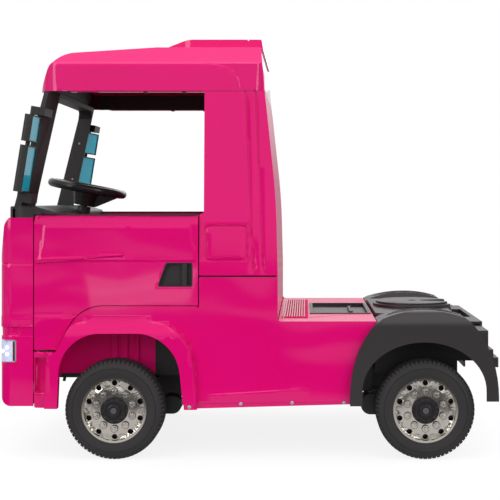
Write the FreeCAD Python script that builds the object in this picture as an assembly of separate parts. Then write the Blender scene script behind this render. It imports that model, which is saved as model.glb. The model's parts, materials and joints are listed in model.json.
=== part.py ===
import FreeCAD, Part
import math
import os

# Child's battery ride-on truck, a cab-over tractor unit with one driven axle pair.
# Millimetres. +Z is up, the nose points towards -X, the driver's left side is -Y.
# The origin lies on the ground below the middle of the whole truck.
# Every paired piece is drawn on the +Y side and mirrored to the -Y side.

V = FreeCAD.Vector

# Whole truck: the driving dimensions
wheelbase = 740.0
truck_height = 1012.0
half_width = 340.0
cab_length = 664.5
tyre_radius = 117.5

# Runs along the side, from the nose to the tail
nose_side_length = 81.5
panel_gap = 2.5
step_length = 56.5
arch_front_room = 18.0
arch_rear_room = 49.0
fender_wheel_room = 29.5
fender_band = 29.0
fender_middle_setback = 3.5
arch_front_run = tyre_radius + arch_front_room
arch_rear_run = tyre_radius + arch_rear_room
fender_open_half_length = tyre_radius + fender_wheel_room
fender_half_length = fender_open_half_length + fender_band
front_overhang = nose_side_length + panel_gap + step_length + arch_front_run
rear_overhang = fender_half_length - fender_middle_setback
truck_length = front_overhang + wheelbase + rear_overhang

# Stations
nose_x = -truck_length / 2
tail_x = truck_length / 2
front_axle_x = nose_x + front_overhang
rear_axle_x = tail_x - rear_overhang
cab_rear_x = nose_x + cab_length
fender_stand_off = 20.0
body_half_width = half_width - fender_stand_off

# Cutting tools run past the faces that they open by this much
cut_overrun = 4.0
arch_flats = 32
gentle_radius = 1800.0

# Wheels
tyre_width = 80.0
tyre_shoulder = 12.0
tyre_bulge = 3.0
bead_radius = 77.0
rim_fit_gap = 0.05
rim_lip_width = 5.0
rim_wall = 4.0
wheel_inset = 6.0
wheel_outer_y = half_width - wheel_inset
wheel_inner_y = wheel_outer_y - tyre_width
disc_radius = 55.6
disc_inset = 9.0
hand_holes = 10
hand_hole_circle = 64.0
hand_hole_radius = 6.5
wheel_bore_radius = 8.1
hub_tube_radius = 20.0
collar_radius = 16.0
hub_cap_radius = 33.0
hub_cap_depth = 16.0
hub_cap_ring = 9.0
hub_cap_ring_step = 4.0
stub_radius = 8.05
axle_height = tyre_radius

# Front axle and steering
kingpin_inset = 22.0
kingpin_y = wheel_inner_y - kingpin_inset
kingpin_radius = 6.0
kingpin_gap = 0.08
kingpin_washer_radius = 10.0
kingpin_washer = 2.5
kingpin_sleeve_radius = 13.0
kingpin_sleeve_length = 38.0
kingpin_sleeve_rise = 21.5
kingpin_sleeve_z = axle_height + kingpin_sleeve_rise
beam_depth = 24.0
beam_width = 24.0
beam_wall = 3.0
knuckle_gap = 0.6
knuckle_plate = 10.0
knuckle_width = 38.0
gearbox_inset = 36.0
gearbox_y = kingpin_y - gearbox_inset
gearbox_length = 176.0
gearbox_depth = 50.0
gearbox_width = 44.0
gearbox_overlap = 26.0
gearbox_end_radius = 24.0
gearbox_edge_radius = 14.0
motor_radius = 18.0
motor_length = 15.0
motor_setback = 118.0
steer_arm = 60.0
steer_arm_radius = 10.0
link_pin_radius = 5.0
link_pin_gap = 0.08
link_thickness = 6.0
link_rise = 28.5
link_z = axle_height + link_rise
link_width = 18.0
link_wheel_gap = 1.0
steer_limit = 40.0
steer_ratio = 0.5

# Steering wheel and column
steer_wheel_setback = 149.5
wheel_centre_x = nose_x + steer_wheel_setback
wheel_centre_z = 648.0
column_lean = 10.5
steer_wheel_radius = 93.5
steer_rim_radius = 11.0
steer_rim_facets = 12
steer_hub_radius = 38.0
steer_boss_radius = 28.0
steer_pad_drop = 46.0
steer_spoke_width = 24.0
steer_spoke_thickness = 9.0
steer_fairing_radius = 78.0
steer_fairing_drop = 14.0
shroud_radius = 17.5
column_radius = 8.0
column_gap = 0.8
crank_length = 32.0
crank_thickness = 6.0
crank_pin_radius = 4.0
crank_slot_gap = 0.6
crank_lift = 6.0
crank_heel = 12.0

# Floor and frame
floor_rise = 64.5
floor_z = axle_height + floor_rise
floor_wall = 5.0
floor_side_gap = 6.0
floor_half_width = body_half_width - floor_side_gap
floor_front_gap = 12.0
arch_box_depth = 115.0
arch_wall_y = body_half_width - arch_box_depth
arch_wall = 4.0
arch_open_share = 0.72
arch_box_room = 34.5
arch_box_front = front_axle_x - tyre_radius - arch_box_room
floor_rib = 14.0
floor_rib_pitch = 60.0
hanger_inset = 78.0
hanger_y = wheel_inner_y - hanger_inset
hanger_thickness = 8.0
hanger_foot_width = 32.0
hanger_head_width = 86.0
hanger_drop = 17.5
frame_inset = 68.0
frame_half_width = hanger_y - frame_inset
frame_bottom_z = 226.0
frame_top_z = 316.0
frame_wall = 6.0
axle_tube_radius = 7.0
battery_length = 150.0
battery_width = 150.0
battery_room = 11.0

# Body skin
panel_wall = 5.0
skirt_front_z = 122.0
skirt_rear_z = 130.0
skirt_mid_z = 119.0
cab_rear_lean = 32.0
cab_rear_top_x = cab_rear_x - cab_rear_lean
cab_split_z = 436.0
sill_z = 582.0
roof_height = 132.0
roof_base_z = truck_height - roof_height
window_lap = 4.0
window_top_z = roof_base_z + window_lap
sill_tumble = 14.0
window_tumble = 30.0
sill_half_width = body_half_width - sill_tumble
window_half_width = body_half_width - window_tumble

# Nose
nose_corner_radius = 30.0
nose_kink_z = 465.0
nose_kink_radius = 225.0
nose_lean = 11.0
nose_brow_height = 15.0
nose_brow_radius = 30.0
nose_brow_run = 24.0
bumper_bottom_z = 126.0
bumper_corner_radius = 28.0
bumper_step_z = 314.0
bumper_step_height = 22.0
bumper_step_depth = 2.5

# Front arch
arch_front_x = front_axle_x - arch_front_run
arch_rear_x = front_axle_x + arch_rear_run
arch_top_z = 300.0
arch_front_lean = 8.0
arch_rear_lean = 20.0
arch_front_radius = 112.0
arch_rear_radius = 126.0
flare_width = 30.0
flare_height = 14.0
flare_fillet = 3.0
pocket_depth = 12.0
pocket_inset = 2.5
pocket_low_z = 157.0
pocket_head = 12.5
pocket_corner = 4.0
hinge_lug = 9.0

# Doors
quarter_length = 190.0
door_rear_x = cab_rear_x - quarter_length
door_thickness = 16.0
door_skin = 5.0
door_rim = 14.0
door_top_z = 580.0
door_low_z = 260.0
door_high_z = 366.0
door_low_length = 53.0
door_arch_run = 55.0
door_arch_radius = 92.0
door_band_depth = 3.0
door_band_height = 11.0
door_band_taper = 2.5
door_hinge_inset = 9.0
door_hinge_depth = 4.5
door_pin_radius = 2.0
door_pin_gap = 0.08
door_pin_length = 14.0
handle_setback = 97.0
handle_x = door_rear_x - handle_setback
handle_length = 84.0
handle_z = 410.0
handle_height = 58.0
handle_slant = 20.0
handle_wall = 3.0
handle_depth = 11.0
handle_bar = 12.0
handle_bar_share = 0.7
handle_corner = 4.0

# Windscreen frame and cowl
cowl_setback = 16.5
cowl_front_x = nose_x + cowl_setback
cowl_length = 117.0
cowl_z = 575.0
cowl_top_z = 602.0
cowl_lip = 10.0
cowl_lean = 2.0
cowl_wall = 6.0
cowl_slope = 50.0
cowl_drop = 14.0
cowl_corner_radius = 40.0
pillar_foot_setback = 16.5
pillar_foot_depth = 47.0
pillar_head_setback = 88.5
pillar_head_depth = 37.0
pillar_foot_width = 80.0
pillar_head_width = 70.0
pillar_taper_share = 0.19
pillar_foot_x = nose_x + pillar_foot_setback
pillar_head_x = nose_x + pillar_head_setback
pillar_inner_foot_y = sill_half_width - pillar_foot_width
pillar_inner_head_y = window_half_width - pillar_head_width
header_drop = 30.0
header_depth = 10.0

# Roof
roof_setback = 86.5
roof_front_x = nose_x + roof_setback
roof_wall = 5.0
roof_belt_height = 66.0
roof_step_z = roof_base_z + roof_belt_height
roof_step = 5.0
fairing_rise = 28.0
roof_front_top_z = truck_height - fairing_rise
roof_brow_drop = 12.0
roof_brow_lean = 36.0
roof_nose_radius = 98.0
roof_corner_radius = 52.0
roof_rear_radius = 29.0
roof_shoulder_inset = 44.0
roof_shoulder_y = window_half_width - roof_shoulder_inset
roof_shoulder_radius = 34.0
fairing_length = 320.0
fairing_front_x = cab_rear_x - fairing_length
fairing_lap = 4.0
roof_rise_end = 24.0
roof_mid_x = fairing_front_x + roof_rise_end
fairing_rise_run = 96.0
fairing_inset = 62.0
fairing_joint_setback = 76.0
fairing_joint_x = cab_rear_x - fairing_joint_setback
fairing_joint_width = 3.0
liner_height = 40.0
liner_thickness = 7.0

# Sleeper box
window_post = 13.0
sleeper_window_x = door_rear_x + window_post
sleeper_wall = 5.0
belly_share = 0.42
belly_run_share = 0.14
groove_width = 5.0
groove_depth = 2.0
groove_setback = 81.0
groove_lean = 20.0
groove_front_x = cab_rear_x - groove_setback
groove_low_z = 446.0
groove_pitch = 24.0
emboss_margin = 15.0
emboss_x = door_rear_x + emboss_margin
emboss_length = 102.0
emboss_z = 470.0
emboss_height = 86.0
emboss_depth = 2.0
emboss_corner = 10.0

# Deck and coupling
deck_z = 328.0
deck_wall = 5.0
deck_rear_run = 113.5
deck_rear_x = rear_axle_x - deck_rear_run
deck_length = deck_rear_x - cab_rear_x
deck_edge_radius = 8.0
deck_rib_share = 0.3
deck_rib_height = 2.5
deck_rib_width = 4.0
deck_rib_pitch = 14.0
deck_rib_margin = 80.0
deck_rib_half_span = body_half_width - deck_rib_margin
bay_length_share = 0.62
bay_length = deck_length * bay_length_share
bay_rear_margin = 9.0
bay_front_x = deck_rear_x - bay_rear_margin - bay_length
bay_margin = 183.0
bay_half_width = body_half_width - bay_margin
bay_depth = 12.0
bay_wall = 4.0
bay_grip_share = 0.7
bay_grip_span_share = 0.5
lever_radius = 5.0
coupling_setback = 1.5
coupling_x = rear_axle_x - coupling_setback
coupling_radius = 96.0
coupling_z = 350.0
coupling_thickness = 14.0
coupling_bore_radius = 10.5
coupling_bore_length = 28.0
coupling_slot_width = 44.0
coupling_slot_flare = 40.0
coupling_slot_start = 23.0
coupling_slot_reach = 192.0
coupling_ring_gap = 8.0
coupling_ring_step = 3.0
coupling_base_z = 316.0
coupling_base_length = 196.0
coupling_base_corner = 16.0

# Rear fenders and tail
fender_middle_x = rear_axle_x - fender_middle_setback
fender_front_x = fender_middle_x - fender_half_length
fender_arch_z = 150.0
fender_arch_height = 228.0
fender_top_z = 326.0
fender_top_radius = 15.0
fender_crown_z = 352.0
fender_crown_curve = 301.0
fender_crown_inset = 40.0
fender_crown_radius = 30.0
fender_crown_y = half_width - fender_crown_inset
fender_depth = 126.0
fender_inner_y = half_width - fender_depth
fender_wall = 5.0
fender_foot_z = 129.0
fender_tail_foot_z = 140.0
fender_open_z = 165.0
fender_open_height = 115.0
fender_inner_low_z = 190.0
fender_inner_tail_z = 220.0
fender_inner_tail_run = 90.0
fender_tail_inset = 10.0
fender_step = 12.0
fender_step_tops = (307.0, 262.0, 243.0)
quarter_room = 8.0
quarter_rise_shares = (0.69, 0.4, 0.0)
coupling_side_gap = 8.0
coupling_base_half_width = fender_inner_y - coupling_side_gap
tail_wall = 6.0
tail_bottom_z = 206.0
tail_depth = 26.0
tail_web_shares = (0.55, 0.95)
lamp_height = 40.0
lamp_length = 96.0
lamp_depth = 9.0
lamp_inset = 10.0
lamp_z = 246.0
lamp_corner = 6.0
lamp_cells = 3

# Seat
seat_setback = 382.0
seat_front_x = cab_rear_x - seat_setback
seat_length = 210.0
seat_side_gap = 37.0
seat_half_width = arch_wall_y - seat_side_gap
seat_top_z = 292.0
seat_wall = 6.0
seat_bolster = 34.0
seat_bolster_rise = 22.0
seat_corner = 30.0
seat_back_x = seat_front_x + seat_length
seat_back_top_z = 548.0
seat_back_depth = 54.0
seat_back_lean = 26.0
seat_back_inset = 18.0
seat_back_half_width = seat_half_width - seat_back_inset
seat_back_corner = 52.0
battery_setback = 18.0
battery_height = seat_top_z - seat_wall - battery_room - floor_wall - floor_z

# Dashboard
dash_setback = 48.5
dash_front_x = nose_x + dash_setback
dash_z = 500.0
dash_depth = 96.0
dash_top_z = cowl_z
dash_wall = 5.0
dash_side_gap = 24.0
dash_half_width = body_half_width - dash_side_gap
dash_radius = 22.0

# Lamps on the nose
headlamp_z = 230.5
headlamp_height = 53.0
headlamp_wrap = 41.5
headlamp_width = 118.0
headlamp_depth = 9.0
headlamp_corner = 7.0
fog_z = 182.0
fog_height = 21.0
fog_width = 62.0
fog_depth = 18.0
fog_inset = 124.0
fog_y = body_half_width - fog_inset

# Grille
grille_z = 336.0
grille_height = 196.0
grille_inset = 124.0
grille_half_width = body_half_width - grille_inset
grille_frame = 12.0
grille_depth = 14.0
grille_slat_height = 12.0
grille_slats = 6
grille_corner = 18.0
grille_cut = 15.0
intake_z = 172.0
intake_height = 40.0
intake_inset = 170.0
intake_half_width = body_half_width - intake_inset
intake_corner = 8.0
intake_slats = 2

# Mirrors
mirror_lean = 9.0
mirror_turn = 16.0
mirror_setback = 45.5
mirror_foot_x = nose_x + mirror_setback
mirror_foot_z = 612.0
mirror_span = roof_base_z - mirror_foot_z
mirror_width = 84.0
mirror_stand_off = 15.0
mirror_inner_y = window_half_width + mirror_stand_off
mirror_outer_y = mirror_inner_y + mirror_width
mirror_middle_y = mirror_inner_y + mirror_width / 2
mirror_depth = 21.0
mirror_wall = 3.0
mirror_corner = 8.0
mirror_edge = 1.0
mirror_base_shares = (0.1, 0.545)
mirror_height_shares = (0.41, 0.235)
mirror_glass_thickness = 2.5
mirror_arm_radius = 5.5
mirror_bracket_setback = 7.0
mirror_bracket_length = 31.0
mirror_bracket_foot_y = sill_half_width - mirror_stand_off
mirror_bracket_head_y = window_half_width - mirror_stand_off
mirror_bracket_low_shares = (0.01, 0.09)
mirror_bracket_high_shares = (0.79, 0.86)


def corner_wire(corners, place):
    """Closed wire through corners (u, v, radius), each rounded by its own radius."""
    count = len(corners)
    limit_share = 0.49
    runs = []
    for index in range(count):
        u, v, radius = corners[index]
        point = V(u, v, 0)
        back = V(corners[index - 1][0], corners[index - 1][1], 0) - point
        ahead = V(corners[(index + 1) % count][0], corners[(index + 1) % count][1], 0) - point
        if not radius:
            runs.append((point, None, point))
            continue
        half_angle = back.getAngle(ahead) / 2
        reach = min(radius / math.tan(half_angle), limit_share * min(back.Length, ahead.Length))
        radius = reach * math.tan(half_angle)
        back.normalize()
        ahead.normalize()
        inward = back + ahead
        inward.normalize()
        centre = point + inward * (radius / math.sin(half_angle))
        middle = centre - inward * radius
        runs.append((point + back * reach, middle, point + ahead * reach))
    edges = []
    for index in range(count):
        start, middle, end = [place(spot.x, spot.y) if spot else None for spot in runs[index]]
        following = runs[(index + 1) % count][0]
        if middle:
            edges.append(Part.Arc(start, middle, end).toShape())
        edges.append(Part.LineSegment(end, place(following.x, following.y)).toShape())
    return Part.Wire(edges)


def prism(axis, corners, start, end):
    """Solid with an outline (u, v, radius) square to an axis, from start to end along it."""
    places = {
        "X": lambda u, v: V(start, u, v),
        "Y": lambda u, v: V(u, start, v),
        "Z": lambda u, v: V(u, v, start),
    }
    unit = {"X": V(1, 0, 0), "Y": V(0, 1, 0), "Z": V(0, 0, 1)}[axis]
    return Part.Face(corner_wire(corners, places[axis])).extrude(unit * (end - start))


def block(x0, x1, y0, y1, z0, z1):
    """Square-edged box between six planes."""
    return Part.makeBox(x1 - x0, y1 - y0, z1 - z0, V(x0, y0, z0))


def rounded(u0, u1, v0, v1, radius):
    """Rectangle outline with four equal corner radii."""
    return [(u0, v0, radius), (u1, v0, radius), (u1, v1, radius), (u0, v1, radius)]


def rod(radius, start, end):
    """Round bar between two points."""
    return Part.makeCylinder(radius, (end - start).Length, start, end - start)


def mirrored(shape):
    """The same piece on the other side of the truck."""
    return shape.mirror(V(0, 0, 0), V(0, 1, 0))


def join(pieces):
    """One solid from touching pieces, with its seam lines removed."""
    return pieces[0].fuse(list(pieces[1:])).removeSplitter()


def ring_xz(profile, x, z):
    """Solid turned about a crosswise axle from a profile of (radius, y, corner radius)."""
    wire = corner_wire(profile, lambda r, y: V(x, y, z + r))
    return Part.Face(wire).revolve(V(x, 0, z), V(0, 1, 0), 360)


def arch_solid(middle, half_length, height, low_z, depth, cap=None):
    """Half an oval on upright legs, in short flats, from its middle point across by a depth.

    A cap is a level centre and a radius: the oval is held below that circle.
    """
    outline = [(middle.x - half_length, low_z, 0)]
    for index in range(arch_flats + 1):
        turn = math.pi * index / arch_flats
        x = middle.x - half_length * math.cos(turn)
        z = middle.z + height * math.sin(turn)
        if cap:
            z = min(z, cap[1] + math.sqrt(cap[2] ** 2 - (x - cap[0]) ** 2))
        outline.append((x, z, 0))
    outline.append((middle.x + half_length, low_z, 0))
    return prism("Y", outline, middle.y, middle.y + depth)


def frustum(foot, head):
    """Flat-sided solid between two level outlines whose sides run parallel."""
    faces = [Part.Face(Part.makePolygon(ring + ring[:1])) for ring in (foot, head)]
    for index in range(len(foot)):
        following = (index + 1) % len(foot)
        side = [foot[index], foot[following], head[following], head[index], foot[index]]
        faces.append(Part.Face(Part.makePolygon(side)))
    solid = Part.makeSolid(Part.makeShell(faces))
    return solid if solid.Volume > 0 else solid.reversed()


def save(name, shape):
    """Write one piece of the truck."""
    shape.exportStep(os.path.join("parts", name + ".step"))


def save_pair(stem, shape):
    """Write a right-hand piece and its mirrored left-hand twin."""
    save(stem + "_right", shape)
    save(stem + "_left", mirrored(shape))


# Side outlines, seen from the side as (x, z, radius)

def arch_outline(offset, low_z):
    """Front wheel-arch opening, moved out by an offset, from a level below the skirt."""
    return [
        (arch_front_x - offset, low_z, 0),
        (arch_front_x + arch_front_lean - offset, arch_top_z + offset, arch_front_radius + offset),
        (arch_rear_x - arch_rear_lean + offset, arch_top_z + offset, arch_rear_radius + offset),
        (arch_rear_x + offset, low_z, 0),
    ]


def door_outline(offset):
    """Door leaf, moved out by an offset, with its sweep over the wheel arch."""
    front = nose_x + nose_side_length + panel_gap - offset
    low_end = front + door_low_length
    return [
        (front, door_top_z + offset, 0),
        (front, door_low_z - offset, 0),
        (low_end + offset, door_low_z - offset, flare_fillet),
        (low_end + door_arch_run + offset, door_high_z - offset, door_arch_radius),
        (door_rear_x + offset, door_high_z - offset, 0),
        (door_rear_x + offset, door_top_z + offset, 0),
    ]


def cab_rear_curve():
    """Upper corners of the cab's back edge, from the split line up to the roof."""
    belly_x = cab_rear_x - cab_rear_lean * belly_run_share
    belly_z = cab_split_z + (window_top_z - cab_split_z) * belly_share
    return [(belly_x, belly_z, gentle_radius), (cab_rear_top_x, window_top_z, 0)]


def skin(x0, x1, wall, inset):
    """Side skin of the body on the +Y side: upright below the sill, leaning in above it."""
    outer = body_half_width - inset
    corners = [
        (outer, skirt_mid_z - cut_overrun, 0),
        (outer, cab_split_z, gentle_radius),
        (sill_half_width - inset + cut_overrun, sill_z, gentle_radius),
        (window_half_width - inset, roof_base_z + cut_overrun, 0),
        (window_half_width - inset - wall, roof_base_z + cut_overrun, 0),
        (sill_half_width - inset + cut_overrun - wall, sill_z, gentle_radius),
        (outer - wall, cab_split_z, gentle_radius),
        (outer - wall, skirt_mid_z - cut_overrun, 0),
    ]
    return prism("X", corners, x0, x1)


def flat_skin(corners, wall):
    """Piece of the upright lower side with a given outline and wall."""
    return prism("Y", corners, body_half_width - wall, body_half_width)


# Wheels

def tyre(x):
    """Tyre with bulging sidewalls and bevelled shoulders."""
    outer = wheel_outer_y
    inner = wheel_inner_y
    bead = bead_radius + rim_fit_gap
    sidewall = (bead_radius + tyre_radius) / 2
    shoulder = tyre_radius - tyre_shoulder
    profile = [
        (bead, inner + tyre_bulge, 0),
        (sidewall, inner, 0),
        (shoulder, inner + tyre_bulge / 2, 0),
        (tyre_radius, inner + tyre_shoulder, 0),
        (tyre_radius, outer - tyre_shoulder, 0),
        (shoulder, outer - tyre_bulge / 2, 0),
        (sidewall, outer, 0),
        (bead, outer - tyre_bulge, 0),
    ]
    return ring_xz(profile, x, axle_height)


def rim(x):
    """Dished rim: outer lip, flat nut disc, bearing tube and a ring of hand holes."""
    outer = wheel_outer_y - tyre_bulge
    inner = wheel_inner_y + tyre_bulge
    face = outer - disc_inset
    barrel = bead_radius - rim_lip_width
    web_drop = disc_inset / 2
    profile = [
        (wheel_bore_radius, inner + rim_lip_width, 0),
        (wheel_bore_radius, face, 0),
        (disc_radius, face, 0),
        (barrel, face - web_drop, 0),
        (barrel, outer, 0),
        (bead_radius, outer, 0),
        (bead_radius, inner, 0),
        (barrel, inner, 0),
        (barrel, face - web_drop - rim_wall, 0),
        (disc_radius, face - rim_wall, 0),
        (hub_tube_radius, face - rim_wall, 0),
        (hub_tube_radius, inner + rim_lip_width, 0),
    ]
    body = ring_xz(profile, x, axle_height)
    for index in range(hand_holes):
        angle = 2 * math.pi * index / hand_holes
        spot_x = x + hand_hole_circle * math.sin(angle)
        spot_z = axle_height + hand_hole_circle * math.cos(angle)
        hole = rod(hand_hole_radius, V(spot_x, inner, spot_z), V(spot_x, outer, spot_z))
        body = body.cut(hole)
    return body


def hub_cap(x):
    """Round cap with stepped rings that closes the bearing tube."""
    seat = wheel_outer_y - tyre_bulge - disc_inset
    ring = hub_cap_radius - hub_cap_ring
    step = hub_cap_ring_step
    top = seat + hub_cap_depth
    profile = [
        (0, seat, 0),
        (hub_cap_radius, seat, 0),
        (hub_cap_radius, seat + step, 0),
        (ring, top - step, 0),
        (ring - hub_cap_ring, top - step, 0),
        (ring - hub_cap_ring, top, 0),
        (0, top, 0),
    ]
    return ring_xz(profile, x, axle_height)


def save_wheel(stem, x):
    """Write the tyre, rim and cap of both wheels of an axle."""
    save_pair(stem + "_tyre", tyre(x))
    save_pair(stem + "_rim", rim(x))
    save_pair(stem + "_hub_cap", hub_cap(x))


# Front axle and steering

def front_axle_beam():
    """Square tube across the truck with an upright kingpin sleeve at each end."""
    x = front_axle_x
    top = floor_z
    tube_end = kingpin_y - kingpin_sleeve_radius + beam_wall / 2
    tube = block(x - beam_width / 2, x + beam_width / 2, -tube_end, tube_end, top - beam_depth, top)
    hollow = block(x - beam_width / 2 + beam_wall, x + beam_width / 2 - beam_wall,
                   -tube_end + beam_wall, tube_end - beam_wall,
                   top - beam_depth + beam_wall, top - beam_wall)
    tube = tube.cut(hollow)
    for side in (-1, 1):
        foot = V(x, side * kingpin_y, kingpin_sleeve_z)
        head = V(x, side * kingpin_y, kingpin_sleeve_z + kingpin_sleeve_length)
        tube = tube.fuse(rod(kingpin_sleeve_radius, foot, head))
        lift = V(0, 0, cut_overrun)
        tube = tube.cut(rod(kingpin_radius + kingpin_gap, foot - lift, head + lift + lift))
    return tube.removeSplitter()


def knuckle():
    """Kingpin, stub axle, drive gearbox and rearward steering arm of the right front wheel."""
    x = front_axle_x
    plate_top = kingpin_sleeve_z - knuckle_gap
    plate_low = plate_top - knuckle_plate
    sleeve_top = kingpin_sleeve_z + kingpin_sleeve_length
    pin = rod(kingpin_radius, V(x, kingpin_y, plate_low), V(x, kingpin_y, sleeve_top + knuckle_gap * 2))
    washer = rod(kingpin_washer_radius, V(x, kingpin_y, sleeve_top + knuckle_gap),
                 V(x, kingpin_y, sleeve_top + knuckle_gap + kingpin_washer))
    half = knuckle_width / 2
    arm_x = x + steer_arm
    plate = prism("Z", [
        (arm_x + steer_arm_radius, kingpin_y - steer_arm_radius, steer_arm_radius),
        (x + half, kingpin_y - steer_arm_radius, 0),
        (x + half, gearbox_y, 0),
        (x - half, gearbox_y, 0),
        (x - half, kingpin_y + steer_arm_radius, 0),
        (arm_x + steer_arm_radius, kingpin_y + steer_arm_radius, steer_arm_radius),
    ], plate_low, plate_top)
    boss = rod(steer_arm_radius, V(arm_x, kingpin_y, plate_low),
               V(arm_x, kingpin_y, link_z - link_wheel_gap))
    link_pin = rod(link_pin_radius, V(arm_x, kingpin_y, plate_low),
                   V(arm_x, kingpin_y, link_z + link_thickness + link_wheel_gap))
    front = x - gearbox_overlap
    low = axle_height - gearbox_depth / 2
    housing = prism("Y", [
        (front, low, gearbox_edge_radius),
        (front + gearbox_length, low, gearbox_end_radius),
        (front + gearbox_length, low + gearbox_depth - link_thickness, gearbox_end_radius),
        (front, plate_low, gearbox_edge_radius),
    ], gearbox_y, gearbox_y + gearbox_width)
    stub_root = gearbox_y + gearbox_width / 2
    stub_tip = wheel_outer_y - tyre_bulge - disc_inset - knuckle_gap
    stub = rod(stub_radius, V(x, stub_root, axle_height), V(x, stub_tip, axle_height))
    collar_end = wheel_inner_y + tyre_bulge + rim_lip_width - knuckle_gap
    collar = rod(collar_radius, V(x, stub_root, axle_height), V(x, collar_end, axle_height))
    motor_x = x + motor_setback
    motor = rod(motor_radius, V(motor_x, gearbox_y - motor_length, axle_height),
                V(motor_x, gearbox_y, axle_height))
    return join([plate, pin, washer, boss, link_pin, housing, stub, collar, motor])


def crank_centre():
    """Point where the column's axis meets the middle of the crank."""
    height = link_z + link_thickness + crank_lift + crank_thickness
    return V(wheel_centre_x - (wheel_centre_z - height) * math.tan(math.radians(column_lean)), 0, height)


def column_axis():
    """Unit vector up the steering column."""
    lean = math.radians(column_lean)
    return V(math.sin(lean), 0, math.cos(lean))


def crank_tip():
    """Point on the crank pin's axis, level with the crank."""
    along = V(math.cos(math.radians(column_lean)), 0, -math.sin(math.radians(column_lean)))
    return crank_centre() + along * crank_length


def tie_rod():
    """Cross link between both steering arms, with a forward tongue slotted for the crank."""
    x = front_axle_x + steer_arm
    top = link_z + link_thickness
    half = link_width / 2
    pin_x = crank_tip().x
    slot_half = crank_length * (1 - math.cos(math.radians(steer_limit))) + crank_pin_radius * 2
    swing = steer_arm * (1 - math.cos(math.radians(steer_limit * steer_ratio)))
    slot_front = pin_x - slot_half - swing
    slot_rear = pin_x + crank_pin_radius * 2 + swing
    tip = slot_front - half
    tongue = half + crank_pin_radius
    bar = prism("Z", [
        (x - half, -kingpin_y - half, half), (x + half, -kingpin_y - half, half),
        (x + half, kingpin_y + half, half), (x - half, kingpin_y + half, half),
        (x - half, link_width, half), (tip, tongue, half),
        (tip, -tongue, half), (x - half, -link_width, half),
    ], link_z, top)
    for side in (-1, 1):
        eye = V(x, side * kingpin_y, link_z - cut_overrun)
        bar = bar.cut(rod(link_pin_radius + link_pin_gap, eye,
                          eye + V(0, 0, link_thickness + 2 * cut_overrun)))
    slot_width = crank_pin_radius + crank_slot_gap
    slot = prism("Z", rounded(slot_front, slot_rear, -slot_width, slot_width, crank_pin_radius),
                 link_z - cut_overrun, top + cut_overrun)
    return bar.cut(slot)


def steering_wheel():
    """Round rim, deep bowl-shaped hub, two side spokes and a wide fairing down to the lower rim."""
    half = steer_spoke_thickness / 2
    turns = [2 * math.pi * index / steer_rim_facets for index in range(steer_rim_facets + 1)]
    section = [V(steer_wheel_radius + steer_rim_radius * math.cos(turn), 0,
                 steer_rim_radius * math.sin(turn))
               for turn in turns]
    centre = V(0, 0, 0)
    up = V(0, 0, 1)
    pieces = [Part.Face(Part.makePolygon(section)).revolve(centre, up, 360)]
    pieces.append(Part.makeCone(steer_boss_radius, steer_hub_radius, steer_pad_drop + half,
                                up * -steer_pad_drop, up))
    for turn in (120, 240):
        spoke = block(0, steer_wheel_radius, -steer_spoke_width / 2, steer_spoke_width / 2, -half, half)
        spoke.rotate(centre, up, turn)
        pieces.append(spoke)
    pieces.append(prism("Y", [
        (0, half, 0), (steer_wheel_radius, half, 0), (steer_wheel_radius, -half, 0),
        (steer_fairing_radius, -steer_fairing_drop, 0), (steer_boss_radius, -steer_pad_drop, 0),
        (0, -steer_pad_drop, 0),
    ], -steer_spoke_width / 2, steer_spoke_width / 2))
    wheel = join(pieces)
    wheel.rotate(centre, V(0, 1, 0), column_lean)
    wheel.translate(V(wheel_centre_x, 0, wheel_centre_z))
    return wheel


def steering_column():
    """Straight shaft from the wheel to the crank below the floor, with the crank's pin."""
    axis = column_axis()
    foot = crank_centre()
    head = V(wheel_centre_x, 0, wheel_centre_z) - axis * steer_pad_drop
    shaft = rod(column_radius, foot - axis * (crank_thickness / 2), head)
    arm = block(-crank_heel, crank_length + crank_pin_radius * 2,
                -column_radius, column_radius, -crank_thickness / 2, crank_thickness / 2)
    arm.rotate(V(0, 0, 0), V(0, 1, 0), column_lean)
    arm.translate(foot)
    tip = crank_tip()
    pin_length = crank_lift + crank_thickness + link_thickness + crank_lift
    pin = rod(crank_pin_radius, tip, tip - axis * pin_length)
    return join([shaft, arm, pin])


# Floor, frame and rear axle

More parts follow.
